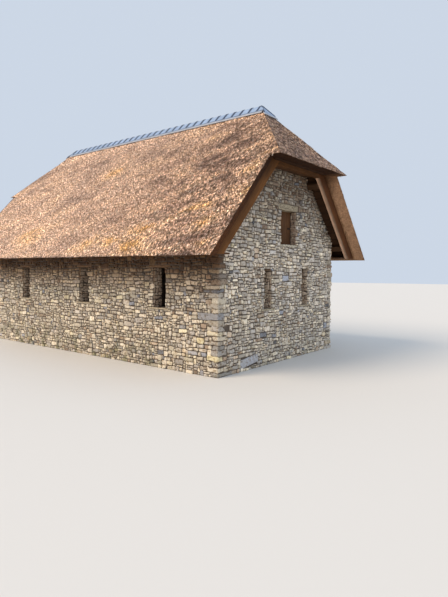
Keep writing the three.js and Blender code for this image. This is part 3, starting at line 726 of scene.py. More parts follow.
def joined(name, shapes, placements, materials, slot):
    """One mesh of many placed copies. A placement is (shape, matrix, size, tone, shade)."""
    points, corners, sides, tones, shades = [], [], [], [], []
    first = 0
    for number, matrix, size, tone, shade in placements:
        shape = shapes[number]
        turn = np.array(matrix)
        points.append(shape.fitted(size) @ turn[:3, :3].T + turn[:3, 3])
        corners.append(shape.corners + first)
        sides.append(shape.sides)
        tones.append(np.full(len(shape.points), tone))
        shades.append(np.full(len(shape.points), shade))
        first += len(shape.points)
    corners, sides = np.concatenate(corners), np.concatenate(sides)
    mesh = bpy.data.meshes.new(name)
    mesh.vertices.add(first)
    mesh.vertices.foreach_set("co", np.concatenate(points).ravel())
    mesh.loops.add(len(corners))
    mesh.loops.foreach_set("vertex_index", corners)
    mesh.polygons.add(len(sides))
    mesh.polygons.foreach_set("loop_start", np.concatenate(([0], np.cumsum(sides)[:-1])))
    mesh.update(calc_edges=True)
    for label, values in (("tone", tones), ("shade", shades)):
        mesh.attributes.new(label, "FLOAT", "POINT").data.foreach_set("value", np.concatenate(values))
    return finished(name, mesh, materials, slot)


# Rubble walls

CELL = 10 * MM
STONE_SHAPES = 28
STONE_ROOT = 30 * MM
# Stones in cells: heights, lengths for their heights, and the least and most that they may have.
STONE_HEIGHTS = (4, 5, 5, 6, 6, 7, 7, 8, 8, 9, 10, 12)
STONE_STRETCHES = (0.8, 0.9, 1.1, 1.3, 1.6, 2.0, 2.8)
THINNEST_BED = 3
SHORTEST_STONE = 4
LONGEST_STONE = 24
LEVEL_STEPS = range(4, 10)


def stone_shapes(rng):
    """Split stones of unit size with crooked outlines, chipped edges and uneven faces."""
    shapes = []
    for _ in range(STONE_SHAPES):
        bm = bmesh.new()
        bmesh.ops.create_cube(bm, size=1.0)
        for vert in bm.verts:
            shrink = Vector((rng.uniform(-0.05, 0.16), rng.uniform(-0.02, 0.1), rng.uniform(-0.05, 0.19)))
            vert.co -= Vector([s if c > 0 else -s for s, c in zip(shrink, vert.co)])
        bmesh.ops.bevel(
            bm, geom=bm.edges[:], offset=rng.uniform(0.07, 0.19), offset_type="OFFSET", segments=1,
            profile=0.5, affect="EDGES", clamp_overlap=True, material=-1)
        for vert in bm.verts:
            vert.co += Vector([rng.uniform(-0.045, 0.045) for _ in range(3)])
        bm.normal_update()
        front = max(bm.faces, key=lambda face: face.calc_center_median().y)
        bmesh.ops.poke(bm, faces=[front], offset=rng.uniform(0.0, 0.12))
        shapes.append(Shape(bm))
    return shapes


class Face:
    """A flat stretch of stonework. A place on it is (across, up, out) from its foot's middle."""

    def __init__(self, origin, out, half_width, height):
        self.origin = Vector(origin)
        self.out = Vector(out)
        self.across = self.out.cross(UP)
        self.half_width = half_width
        self.height = height

    def point(self, across, up, out):
        return self.origin + self.across * across + UP * up + self.out * out

    def matrix(self, centre, tilt=(0, 0, 0)):
        """Places a shape whose axes run along, out and up, with a small tilt."""
        turn = Matrix((self.across, self.out, UP)).transposed()
        for angle, axis in zip(tilt, "XYZ"):
            turn = turn @ Matrix.Rotation(angle, 3, axis)
        return Matrix.Translation(self.point(*centre)) @ turn.to_4x4()

    def cells(self, low, high):
        """The rows and columns of cells that a box in the house's frame covers."""
        places = [corner - self.origin for corner in (low, high)]
        ends = sorted((place.dot(self.across) + self.half_width) / CELL for place in places)
        rows = sorted(place.z / CELL for place in places)
        left, right = max(0, round(ends[0])), round(ends[1])
        bottom, top = max(0, round(rows[0])), round(rows[1])
        return slice(bottom, top), slice(left, right)


def house_tree():
    """All CAD solids as one search tree, with the name of the node of each triangle."""
    points, triangles, owners = [], [], []
    for name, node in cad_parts.items():
        first = len(points)
        points += [vert.co.copy() for vert in node.data.vertices]
        triangles += [[first + i for i in poly.vertices] for poly in node.data.polygons]
        owners += [name] * len(node.data.polygons)
    return BVHTree.FromPolygons(points, triangles), owners


LOOK_FROM = 35 * MM
LOOK_SLACK = 3 * MM


def bare_wall(face, tree, owners):
    """A grid of cells that are true where the face shows the wall itself."""
    rows = round(face.height / CELL)
    columns = round(2 * face.half_width / CELL)
    bare = np.zeros((rows, columns), bool)
    for row in range(rows):
        for column in range(columns):
            start = face.point((column + 0.5) * CELL - face.half_width, (row + 0.5) * CELL, LOOK_FROM)
            _, _, index, distance = tree.ray_cast(start, -face.out, LOOK_FROM + LOOK_SLACK)
            if index is not None and abs(distance - LOOK_FROM) < LOOK_SLACK:
                bare[row, column] = owners[index].endswith("wall")
    return bare


def lay_stones(bare, rng):
    """Fills bare cells with roughly coursed stones. Gives (left, bottom, length, height)."""
    rows, columns = bare.shape
    top = np.zeros(columns, int)
    laid = []
    while top.min() < rows:
        left = int(top.argmin())
        base = int(top[left])
        if not bare[base : base + THINNEST_BED, left].all():
            top[left] = base + 1
            continue
        right = left + 1
        while (
            right < columns and right - left < LONGEST_STONE and abs(top[right] - base) <= 1
            and bare[base : base + THINNEST_BED, right].all()
        ):
            right += 1
        room = right - left
        height = rng.choice(STONE_HEIGHTS)
        beside = [int(top[c]) - base for c in (left - 1, right) if 0 <= c < columns]
        level = [gap for gap in beside if gap in LEVEL_STEPS]
        if level and rng.random() < 0.6:
            height = level[0]
        length = round(height * rng.choice(STONE_STRETCHES))
        length = max(SHORTEST_STONE, min(length, LONGEST_STONE))
        if room - length < SHORTEST_STONE:
            length = room if room < 1.5 * length else room // 2
        base = int(top[left : left + length].max())
        clear = bare[base : base + height, left : left + length].all(axis=1)
        if not clear.all():
            height = int(clear.argmin())
        elif len(clear) < height:
            height = len(clear)
        if height >= 2 and length >= 2:
            laid.append((left, base, length, height))
        top[left : left + length] = base + max(height, 1)
    return laid


# Slate, blue, grey, buff, yellow and brown stones: the share that is picked up to each kind on a
# gable and on a long wall, then the kind's least and greatest tone and its shade.
STONE_KINDS = (
    (0.008, 0.008, 0.00, 0.05, 1.0),
    (0.018, 0.018, 0.06, 0.12, 1.0),
    (0.600, 0.200, 0.14, 0.34, 1.0),
    (0.920, 0.880, 0.34, 0.76, 1.0),
    (0.935, 0.935, 0.76, 0.80, 0.9),
    (1.000, 1.000, 0.88, 0.98, 1.0),
)
PAINTED_SHADE_TONES = (0.9, 1.0)
SHADES = (0.66, 1.34)


def stone_look(rng, warmth, painted_shade=0.0):
    """Picks tone and shade for a stone: warmer on the long walls, brighter on the gables as painted
    light, and dark and brown as painted shade under the eaves and the half-hips.
    """
    # Painted shade under the roof and painted light on the gables scale the stone's shade.
    shade = rng.uniform(*SHADES) * (1 - 0.66 * painted_shade) * (1.4 - 0.3 * warmth)
    if rng.random() < 0.8 * painted_shade ** 2:
        return rng.uniform(*PAINTED_SHADE_TONES), shade
    pick = rng.random()
    for gable, long_wall, least, greatest, tint in STONE_KINDS:
        if pick < gable + (long_wall - gable) * warmth:
            return rng.uniform(least, greatest), shade * tint


# The near front corner stone by stone, as the photo shows it: height, length on the front and
# length on the gable in cells, then tone and shade. The grey slab in the middle runs far.
# The top stones are darker, as painted shade under the eaves.
NEAR_CORNER = (
    (9, 18, 43, 0.13, 0.9), (10, 26, 16, 0.68, 1.15), (11, 13, 26, 0.22, 0.95), (10, 26, 13, 0.84, 1.05),
    (11, 17, 26, 0.16, 1.0), (9, 14, 20, 0.13, 0.8), (8, 20, 14, 0.32, 0.95), (10, 14, 24, 0.6, 1.1),
    (8, 26, 14, 0.78, 1.05), (10, 16, 34, 0.2, 1.05), (11, 24, 18, 0.4, 0.85), (13, 49, 15, 0.09, 0.95),
    (8, 16, 30, 0.5, 1.0), (9, 28, 14, 0.35, 1.0), (12, 14, 24, 0.6, 1.05), (9, 24, 15, 0.3, 1.0),
    (7, 36, 20, 0.03, 1.1), (8, 30, 18, 0.56, 1.0), (11, 16, 26, 0.93, 0.8), (10, 14, 30, 0.16, 0.62),
    (10, 24, 14, 0.66, 0.66), (9, 15, 22, 0.95, 0.5), (12, 26, 15, 0.97, 0.34),
)
QUOIN_HEIGHTS = (4, 5, 6, 7, 8, 9, 11, 13)
QUOIN_LONG = (18, 38)
QUOIN_SHORT = (9, 19)


def corner_shape(size, rng):
    """A split corner stone at its real size, with chipped edges and wavy faces."""
    bm = bmesh.new()
    bmesh.ops.create_cube(bm, size=1.0)
    bmesh.ops.transform(bm, matrix=Matrix.Diagonal((*size, 1.0)), verts=bm.verts)
    for vert in bm.verts:
        vert.co += Vector([rng.uniform(-11, 11) * MM for _ in range(3)])
    bmesh.ops.bevel(
        bm, geom=bm.edges[:], offset=rng.uniform(10, 24) * MM, offset_type="OFFSET", segments=1,
        profile=0.5, affect="EDGES", clamp_overlap=True, material=-1)
    long = [edge for edge in bm.edges if edge.calc_length() > 60 * MM]
    bmesh.ops.subdivide_edges(bm, edges=long, cuts=3, use_grid_fill=True)
    bm.normal_update()
    shift = Vector([rng.uniform(-50, 50) for _ in range(3)])
    for vert in bm.verts:
        wave = noise.noise(vert.co / 0.07 + shift) * 24 + rng.uniform(-4, 4)
        vert.co += vert.normal * wave * MM
    return Shape(bm, unit=False)


def corner_stones(end, side, rng, top):
    """Gives height, length on the long wall and on the gable, tone and shade, from the foot up."""
    row, turn = 0, rng.random() < 0.5
    fixed = NEAR_CORNER if (end, side) == (1, -1) else ()
    for stone in fixed:
        yield stone
        row += stone[0]
    while row * CELL < top:
        height = min(rng.choice(QUOIN_HEIGHTS), math.ceil(top / CELL) - row)
        along = rng.randint(*(QUOIN_LONG if turn else QUOIN_SHORT))
        deep = rng.randint(*(QUOIN_SHORT if turn else QUOIN_LONG))
        # Painted shade under the eaves, weaker on the back corners.
        dark = painted_eaves_shade(row * CELL) * (1.0 if side < 0 else 0.3)
        yield height, along, deep, *stone_look(rng, 0.6, dark)
        row += height
        if rng.random() < 0.8:
            turn = not turn


# Heights between which a wall is darkened with painted shade, in metres.
EAVES_SHADE = (1.86, 2.12)
HIP_SHADE = (2.3, 3.9)


def painted_eaves_shade(height):
    """Rises from 0 to 1 where the wall is darkened with painted shade under the eaves."""
    return min(1.0, max(0.0, (height - EAVES_SHADE[0]) / (EAVES_SHADE[1] - EAVES_SHADE[0])))


def painted_hip_shade(height):
    """The same for the top of a gable, under the half-hip."""
    return 0.8 * min(1.0, max(0.0, (height - HIP_SHADE[0]) / (HIP_SHADE[1] - HIP_SHADE[0])))


def quoins(faces, bare, settings, rng, top):
    """Corner stones, long on one face and short on the other mostly by turns."""
    shapes, placements = [], []
    high_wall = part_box("near_gable_wall")[1]
    for end in (1, -1):
        for side in (-1, 1):
            row = 0
            for height, along, deep, tone, shade in corner_stones(end, side, rng, top):
                corner = Vector((high_wall.x * end, high_wall.y * side, row * CELL))
                inner = corner + Vector((-along * CELL * end, -deep * CELL * side, height * CELL))
                for face, free in zip(faces, bare):
                    if face.out.dot(Vector((end, side, 0))) > 0:
                        free[face.cells(corner, inner)] = False
                proud = settings.proud + rng.uniform(-12, 10) * MM
                outer = corner + Vector((proud * end, proud * side, 0))
                size = Vector((abs(outer.x - inner.x), abs(outer.y - inner.y), height * CELL))
                middle = (outer + inner) / 2
                joint = settings.joint
                size -= Vector((joint / 2, joint / 2, joint * rng.uniform(0.2, 1.4)))
                swing = rng.uniform(-9, 9) * MM / max(size.x, size.y)
                tilt = Matrix.Rotation(swing, 4, "Z") @ Matrix.Rotation(rng.uniform(-0.03, 0.03), 4, "Y")
                placements.append((len(shapes), Matrix.Translation(middle) @ tilt, size, tone, shade))
                shapes.append(corner_shape(size, rng))
                row += height
    return shapes, placements


# Stones that stand out in the photo, as (wall, low corner, high corner, tone, shade) in metres.
LANDMARKS = (
    ("near_gable_stones", (4.05, -1.61, 0.08), (4.05, -1.02, 0.28), 0.08, 1.7),
    ("near_gable_stones", (4.05, -0.09, 1.75), (4.05, 0.2, 1.89), 0.06, 1.8),
    ("near_gable_stones", (4.05, -0.2, 1.02), (4.05, -0.02, 1.13), 0.06, 1.5),
    ("near_gable_stones", (4.05, 1.9, 0.52), (4.05, 2.1, 0.68), 0.06, 1.5),
    ("near_gable_stones", (4.05, -0.95, 0.6), (4.05, -0.68, 0.71), 0.04, 1.1),
    ("front_stones", (3.54, -2.3, 0.6), (3.74, -2.3, 0.73), 0.84, 1.05),
    ("front_stones", (2.42, -2.3, 0.99), (2.62, -2.3, 1.07), 0.06, 1.0),
)
# Openings as (middle, width, foot, head) along the wall, in metres.
LONG_SLITS = [(x, 0.36, 1.235, 2.05) for x in (-2.52, 0.0, 2.52)]
GABLE_SLITS = [(y, 0.30, 1.19, 2.03) for y in (-0.64, 0.92)]
GABLE_WINDOW = (0.175, 0.66, 2.565, 3.315)
OPENINGS = {
    "front_stones": LONG_SLITS,
    "back_stones": LONG_SLITS[::2],
    "near_gable_stones": GABLE_SLITS + [GABLE_WINDOW],
    "far_gable_stones": GABLE_SLITS + [GABLE_WINDOW],
}
JAMB_DEPTH = 245 * MM
WINDOW_JAMB_DEPTH = 145 * MM
JAMB_PROUD = 9 * MM
# The sides of the openings are brown and take little light, so their stones are made paler with
# painted light.
GABLE_JAMB_GLOW = 1.45
LONG_JAMB_GLOW = 1.25
SILL_SIZE = Vector((0.54, 0.10, 0.03))


class COTTAGE_OT_walls(bpy.types.Operator):
    """Lays the rubble on all four walls and on the sides of the openings"""

    bl_idname = "cottage.walls"
    bl_label = "Rubble walls"

    def execute(self, context):
        settings = context.scene.cottage_stone
        rng = random.Random(settings.seed)
        material = rubble_stone()
        mortar = lime_mortar(settings.mortar)
        paint(mortar, "front_wall", "back_wall", "near_gable_wall", "far_gable_wall")
        tree, owners = house_tree()
        shapes = stone_shapes(rng)
        low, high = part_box("far_gable_wall")[0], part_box("near_gable_wall")[1]
        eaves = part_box("front_eaves_soffit")[0].z
        faces = {
            "front_stones": Face((0, low.y, 0), (0, -1, 0), high.x, eaves),
            "back_stones": Face((0, high.y, 0), (0, 1, 0), high.x, eaves),
            "near_gable_stones": Face((high.x, 0, 0), (1, 0, 0), high.y, high.z),
            "far_gable_stones": Face((low.x, 0, 0), (-1, 0, 0), high.y, high.z),
        }
        bare = {name: bare_wall(face, tree, owners) for name, face in faces.items()}
        corner = quoins(faces.values(), bare.values(), settings, rng, eaves - 5 * MM)
        joined("quoins", *corner, [material], "rubble_stone")
        sills = bmesh.new()
        for name, face in faces.items():
            warmth = 0.0 if "gable" in name else 1.0
            placements = self.landmarks(name, face, bare[name], settings, rng)
            self.slit_sills(sills, name, face, bare[name])
            placements += self.stones_on(face, bare[name], settings, rng, warmth, settings.proud)
            joined(name, shapes, placements, [material], "rubble_stone")
            joined(name.replace("stones", "jamb_stones"), shapes, self.jambs(name, face, settings, rng),
                   [material], "rubble_stone")
        worn(sills, 3 * MM, 5 * MM, 0.09, 3)
        mesh_piece("slit_sills", sills, [dressed_stone("split_sill_slab", "#EDE8DF")], "dressed_stone")
        return {"FINISHED"}

    def landmarks(self, name, face, bare, settings, rng):
        """Sets the few stones that the photo shows clearly, before the rest is filled in."""
        placements = []
        for wall, low, high, tone, shade in LANDMARKS:
            if wall == name:
                rows, columns = face.cells(Vector(low), Vector(high))
                bare[rows, columns] = False
                patch = (columns.start, rows.start, columns.stop - columns.start, rows.stop - rows.start)
                place = self.stone_place(face, patch, settings.proud + 6 * MM, settings.joint, rng)
                placements.append((rng.randrange(STONE_SHAPES), *place, tone, shade))
        return placements

    def slit_sills(self, bm, name, face, bare):
        """A thin stone slab under each slit, a little proud of the stones."""
        for middle, width, foot, head in OPENINGS[name]:
            if (middle, width, foot, head) == GABLE_WINDOW:
                continue
            along = face.across.dot(Vector((middle, middle, 0)))
            half = SILL_SIZE.x / 2
            low = face.point(along - half, foot - SILL_SIZE.z, -SILL_SIZE.y + 35 * MM)
            high = face.point(along + half, foot, 35 * MM)
            corners = [Vector([pick(pair) for pair in zip(low, high)]) for pick in (min, max)]
            bare[face.cells(*corners)] = False
            add_plain_block(bm, *corners)

    def stone_place(self, face, patch, out, joint, rng, stretch=(0.0, 0.0)):
        """Matrix and size of a stone in a patch of cells, less the joint around it."""
        left, bottom, length, height = patch
        start = left * CELL - face.half_width - stretch[0]
        stop = (left + length) * CELL - face.half_width + stretch[1]
        size = (stop - start - joint, out + STONE_ROOT, height * CELL - joint)
        centre = ((start + stop) / 2, (bottom + height / 2) * CELL, (out - STONE_ROOT) / 2)
        tilt = [rng.gauss(0, most) for most in (0.08, 0.06, 0.05)]
        return face.matrix(centre, tilt), size

    def stones_on(self, face, bare, settings, rng, warmth, proud, uneven=15 * MM, snug=1.0):
        """Places a stone in each laid patch of cells, a joint's width times snug smaller than it."""
        placements = []
        painted_shade = painted_eaves_shade if warmth else painted_hip_shade
        for patch in lay_stones(bare, rng):
            left, bottom, length, height = patch
            right = left + length
            out = proud + rng.uniform(-uneven, uneven)
            joint = settings.joint * snug * rng.uniform(0.1, 1.9)
            # Beside an opening the ends of the stones are ragged.
            free = [
                0 < left and not bare[bottom, left - 1],
                right < bare.shape[1] and not bare[bottom, right],
            ]
            stretch = [rng.uniform(-8, 20) * MM if edge else 0.0 for edge in free]
            place = self.stone_place(face, patch, out, joint, rng, stretch)
            # Painted shade under the eaves and the half-hips darkens and browns the stone.
            look = stone_look(rng, warmth, painted_shade(face.origin.z + (bottom + height) * CELL))
            placements.append((rng.randrange(STONE_SHAPES), *place, *look))
        return placements

    def jambs(self, name, face, settings, rng):
        """Stones on both sides of each opening, in the outer part of the wall."""
        placements = []
        for middle, width, foot, head in OPENINGS[name]:
            depth = JAMB_DEPTH if width < 0.5 else WINDOW_JAMB_DEPTH
            along = face.across.dot(Vector((middle, middle, 0)))
            for side in (-1, 1):
                origin = face.point(along + side * width / 2, foot, -depth / 2)
                jamb = Face(origin, -side * face.across, depth / 2, head - foot)
                bare = np.ones((round(jamb.height / CELL), round(2 * jamb.half_width / CELL)), bool)
                placements += self.stones_on(jamb, bare, settings, rng, 0.5, JAMB_PROUD, 5 * MM, 0.4)
        # Painted light on the sides of the openings.
        glow = GABLE_JAMB_GLOW if "gable" in name else LONG_JAMB_GLOW
        return [
            (*place, 0.9 + 0.1 * tone, (0.85 + 0.32 * shade) * glow)
            for *place, tone, shade in placements
        ]


class COTTAGE_OT_slabs(bpy.types.Operator):
    """Wears the lintels, sills and threshold"""

    bl_idname = "cottage.slabs"
    bl_label = "Lintels and sills"

    def execute(self, context):
        pale = dressed_stone("riven_limestone_slab", "#FFFFFF")
        dull = dressed_stone("weathered_limestone_lintel", "#D9D4CA")
        # The lintels of the slits are tinted dark brown, as painted shade under the eaves.
        painted_shading = dressed_stone("painted_shade_limestone_lintel", "#A9876A")
        words = ("lintel", "sill", "threshold")
        names = [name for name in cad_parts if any(word in name for word in words)]
        for number, name in enumerate(sorted(names)):
            bm = copy_of(name)
            bmesh.ops.subdivide_edges(bm, edges=bm.edges[:], cuts=3, use_grid_fill=True)
            over_window = "window_lintel" in name
            worn(bm, 9 * MM, (24 if over_window else 14) * MM, 0.1, number)
            material = dull if over_window else painted_shading if "slit_lintel" in name else pale
            mesh_piece(name + "_slab", bm, [material], "dressed_stone", [name])
        paint(floor_flags(), "floor")
        return {"FINISHED"}


# Thatch

WELD = 7 * MM
# The reed lies on faces that look up more than this. The others are cut ends and undersides.
COMBED_RISE = 0.25
# Along eaves and verges, in a band this wide, more reeds stand out and they are shorter.
EAVES_BAND = 0.16
VERGE_BAND = 0.1
# Loose reeds in millimetres, and in degrees how far they lift off the coat and swing to the side.
REED_LENGTHS = (45, 100)
REED_WIDTHS = (5, 9)
REED_LIFTS = (3, 13)
REED_SWING = 11
# The hips lie this far along the reed's map, clear of the long slopes.
HIP_MAP_SHIFT = 20.0
# Sizes of the swells and tufts in the coat, and how high the tufts are.
SWELL_SIZE = 0.55
TUFT_SIZE = 0.11
SMALL_TUFT_SIZE = 0.05
TUFT_HEIGHT = 7 * MM


def inner_faces(bm, trees):
    """Faces where one part of the roof coat lies against another."""
    found = []
    for face in bm.faces:
        centre = face.calc_center_median()
        for tree in trees:
            _, normal, _, distance = tree.find_nearest(centre)
            if distance < 2 * MM and normal.dot(face.normal) < -0.99:
                found.append(face)
                break
    return found


class COTTAGE_OT_thatch(bpy.types.Operator):
    """Makes one uneven coat of combed reed from the four thatch solids"""

    bl_idname = "cottage.thatch"
    bl_label = "Thatch"

    def execute(self, context):
        settings = context.scene.cottage_thatch
        parts = ("front_thatch", "back_thatch", "near_hip_thatch", "far_hip_thatch")
        bm = bmesh.new()
        trees = [BVHTree.FromBMesh(copy_of(name)) for name in parts]
        for number, name in enumerate(parts):
            piece = copy_of(name)
            others = trees[:number] + trees[number + 1 :]
            bmesh.ops.delete(piece, geom=inner_faces(piece, others), context="FACES_ONLY")
            scratch = bpy.data.meshes.new("scratch")
            piece.to_mesh(scratch)
            piece.free()
            bm.from_mesh(scratch)
            bpy.data.meshes.remove(scratch)
        bmesh.ops.remove_doubles(bm, verts=bm.verts, dist=WELD)
        loose = [edge for edge in bm.edges if not edge.link_faces]
        bmesh.ops.delete(bm, geom=loose, context="EDGES")
        bmesh.ops.recalc_face_normals(bm, faces=bm.faces)
        bm.normal_update()
        self.soften(bm)
        self.cut_grid(bm, settings.cell)
        self.map_slopes(bm)
        self.roughen(bm, settings)
        self.loose_reeds(bm, settings)
        reed = [water_reed(settings.straw), cut_reed()]
        mesh_piece("reed_coat", bm, reed, "reed_thatch", parts, smooth=True)
        return {"FINISHED"}

    def loose_reeds(self, bm, settings):
        """Stems that lift a little out of the coat, closest together along its edges."""
        rng = random.Random(settings.reed_seed)
        stem = bmesh.new()
        bmesh.ops.create_cone(stem, segments=3, radius1=0.5, radius2=0.4, depth=1.0, cap_ends=True)
        shapes = [Shape(stem)]
        slopes = [face for face in bm.faces if face.normal.z > COMBED_RISE]
        low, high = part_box("front_thatch")
        hip_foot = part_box("near_hip_thatch")[0].z
        weights, edges = [], []
        for face in slopes:
            place = face.calc_center_median()
            hip = abs(face.normal.x) > abs(face.normal.y)
            foot = hip_foot if hip else low.z
            edge = place.z < foot + EAVES_BAND or (not hip and abs(place.x) > high.x - VERGE_BAND)
            weights.append(face.calc_area() * (2.0 if edge else 1.0))
            edges.append(edge)
        placements = []
        for number in rng.choices(range(len(slopes)), weights, k=settings.reed_count):
            face, edge = slopes[number], edges[number]
            corners = [vert.co for vert in face.verts]
            shares = [rng.random() for _ in corners]
            place = sum((co * share for co, share in zip(corners, shares)), Vector()) / sum(shares)
            out = face.normal
            down = Vector((out.x * out.z, out.y * out.z, -out.x ** 2 - out.y ** 2)).normalized()
            across = out.cross(down)
            lift = math.radians(rng.uniform(*REED_LIFTS))
            swing = math.radians(rng.gauss(0, REED_SWING))
            along = down * math.cos(swing) + across * math.sin(swing)
            along = along * math.cos(lift) + out * math.sin(lift)
            length = rng.uniform(*REED_LENGTHS) * (0.6 if edge else 1.0) * MM
            turn = along.to_track_quat("Z", "Y").to_matrix().to_4x4()
            thick = rng.uniform(*REED_WIDTHS) * MM
            middle = place + along * length * (0.05 if edge else 0.2)
            matrix = Matrix.Translation(middle) @ turn
            shade = 0.7 if abs(out.x) > abs(out.y) else 1.0
            placements.append((0, matrix, (thick, thick, length), rng.random(), shade))
        joined("loose_reeds", shapes, placements, [loose_reed()], "reed_thatch")

    def soften(self, bm):
        """Rounds the outer edges: eaves, verges and hips."""
        edges = [
            edge for edge in bm.edges
            if edge.is_manifold and edge.is_convex and edge.calc_face_angle(0) > 0.3
            and max(face.normal.z for face in edge.link_faces) > 0.3
            and max(abs(vert.co.y) for vert in edge.verts) > 0.01
        ]
        bmesh.ops.bevel(
            bm, geom=edges, offset=32 * MM, offset_type="OFFSET", segments=3, profile=0.5,
            affect="EDGES", clamp_overlap=True, material=-1)

    def cut_grid(self, bm, cell):
        """Cuts the coat into small squares that can take its unevenness."""
        points = np.array([vert.co for vert in bm.verts])
        low, high = points.min(axis=0), points.max(axis=0)
        slope_steps = cell * 0.72
        for axis, step in ((0, cell), (2, slope_steps)):
            normal = [0.0, 0.0, 0.0]
            normal[axis] = 1.0
            for place in np.arange(low[axis] + step, high[axis] - step / 2, step):
                centre = [0.0, 0.0, 0.0]
                centre[axis] = place + 1e-4
                bmesh.ops.bisect_plane(
                    bm, geom=bm.verts[:] + bm.edges[:] + bm.faces[:], dist=1e-5,
                    plane_co=centre, plane_no=normal)
        bm.normal_update()
        ends = [face for face in bm.faces if abs(face.normal.x) > 0.3]
        for place in np.arange(low[1] + cell, high[1], cell):
            around = {item for face in ends if face.is_valid for item in (face, *face.edges, *face.verts)}
            cut = bmesh.ops.bisect_plane(
                bm, geom=list(around), dist=1e-5, plane_co=(0, place + 1e-4, 0), plane_no=(0, 1, 0))
            ends += [item for item in cut["geom"] if isinstance(item, bmesh.types.BMFace)]
            ends = list({face for face in ends if face.is_valid})
        bm.normal_update()

    def map_slopes(self, bm):
        """Lays metres across and down each slope into the reed's UV map."""
        layer = bm.loops.layers.uv.new("reed")
        for face in bm.faces:
            flat = Vector((face.normal.x, face.normal.y))
            hip = abs(flat.x) > abs(flat.y)
            steep = max(flat.length, 0.2)
            face.material_index = 0 if face.normal.z > COMBED_RISE else 1
            for loop in face.loops:
                place = loop.vert.co
                loop[layer].uv = (place.y + HIP_MAP_SHIFT if hip else place.x, place.z / steep)

    def roughen(self, bm, settings):
        """Pushes the outer faces in and out, in slow swells and small tufts."""
        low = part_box("front_thatch")[0]
        for vert in bm.verts:
            if vert.normal.z < -0.6:
                continue
            rough = 0.35 if vert.normal.z < 0.5 or vert.co.z < low.z + 0.06 else 1.0
            swell = noise.noise(vert.co / SWELL_SIZE) * settings.unevenness
            tuft = noise.noise(vert.co / TUFT_SIZE + Vector((31, 7, 3))) * TUFT_HEIGHT
            tuft += noise.noise(vert.co / SMALL_TUFT_SIZE + Vector((3, 17, 9))) * TUFT_HEIGHT
            vert.co += vert.normal * rough * (swell + tuft - 6 * MM)


# Ridge tiles: the crown's radius and how far it lies under the cap's top, and how far a wing goes on.
CROWN_RADIUS = 70 * MM
CROWN_SINK = 12 * MM
WING_PAST = 30 * MM
TILE_THICKNESS = 18 * MM
# A roll covers each joint. Ribs of the same clay run down the hips.
ROLL_HALF_WIDTH = 25 * MM
ROLL_LIFT = 6 * MM
RIB_RADIUS = 18 * MM
# Strips of mortar under the tiles' feet.
BED_HALF_THICKNESS = 9 * MM
BED_PAST = 22 * MM
BED_EDGE = 4 * MM
HIP_PITCH = math.radians(45.8)


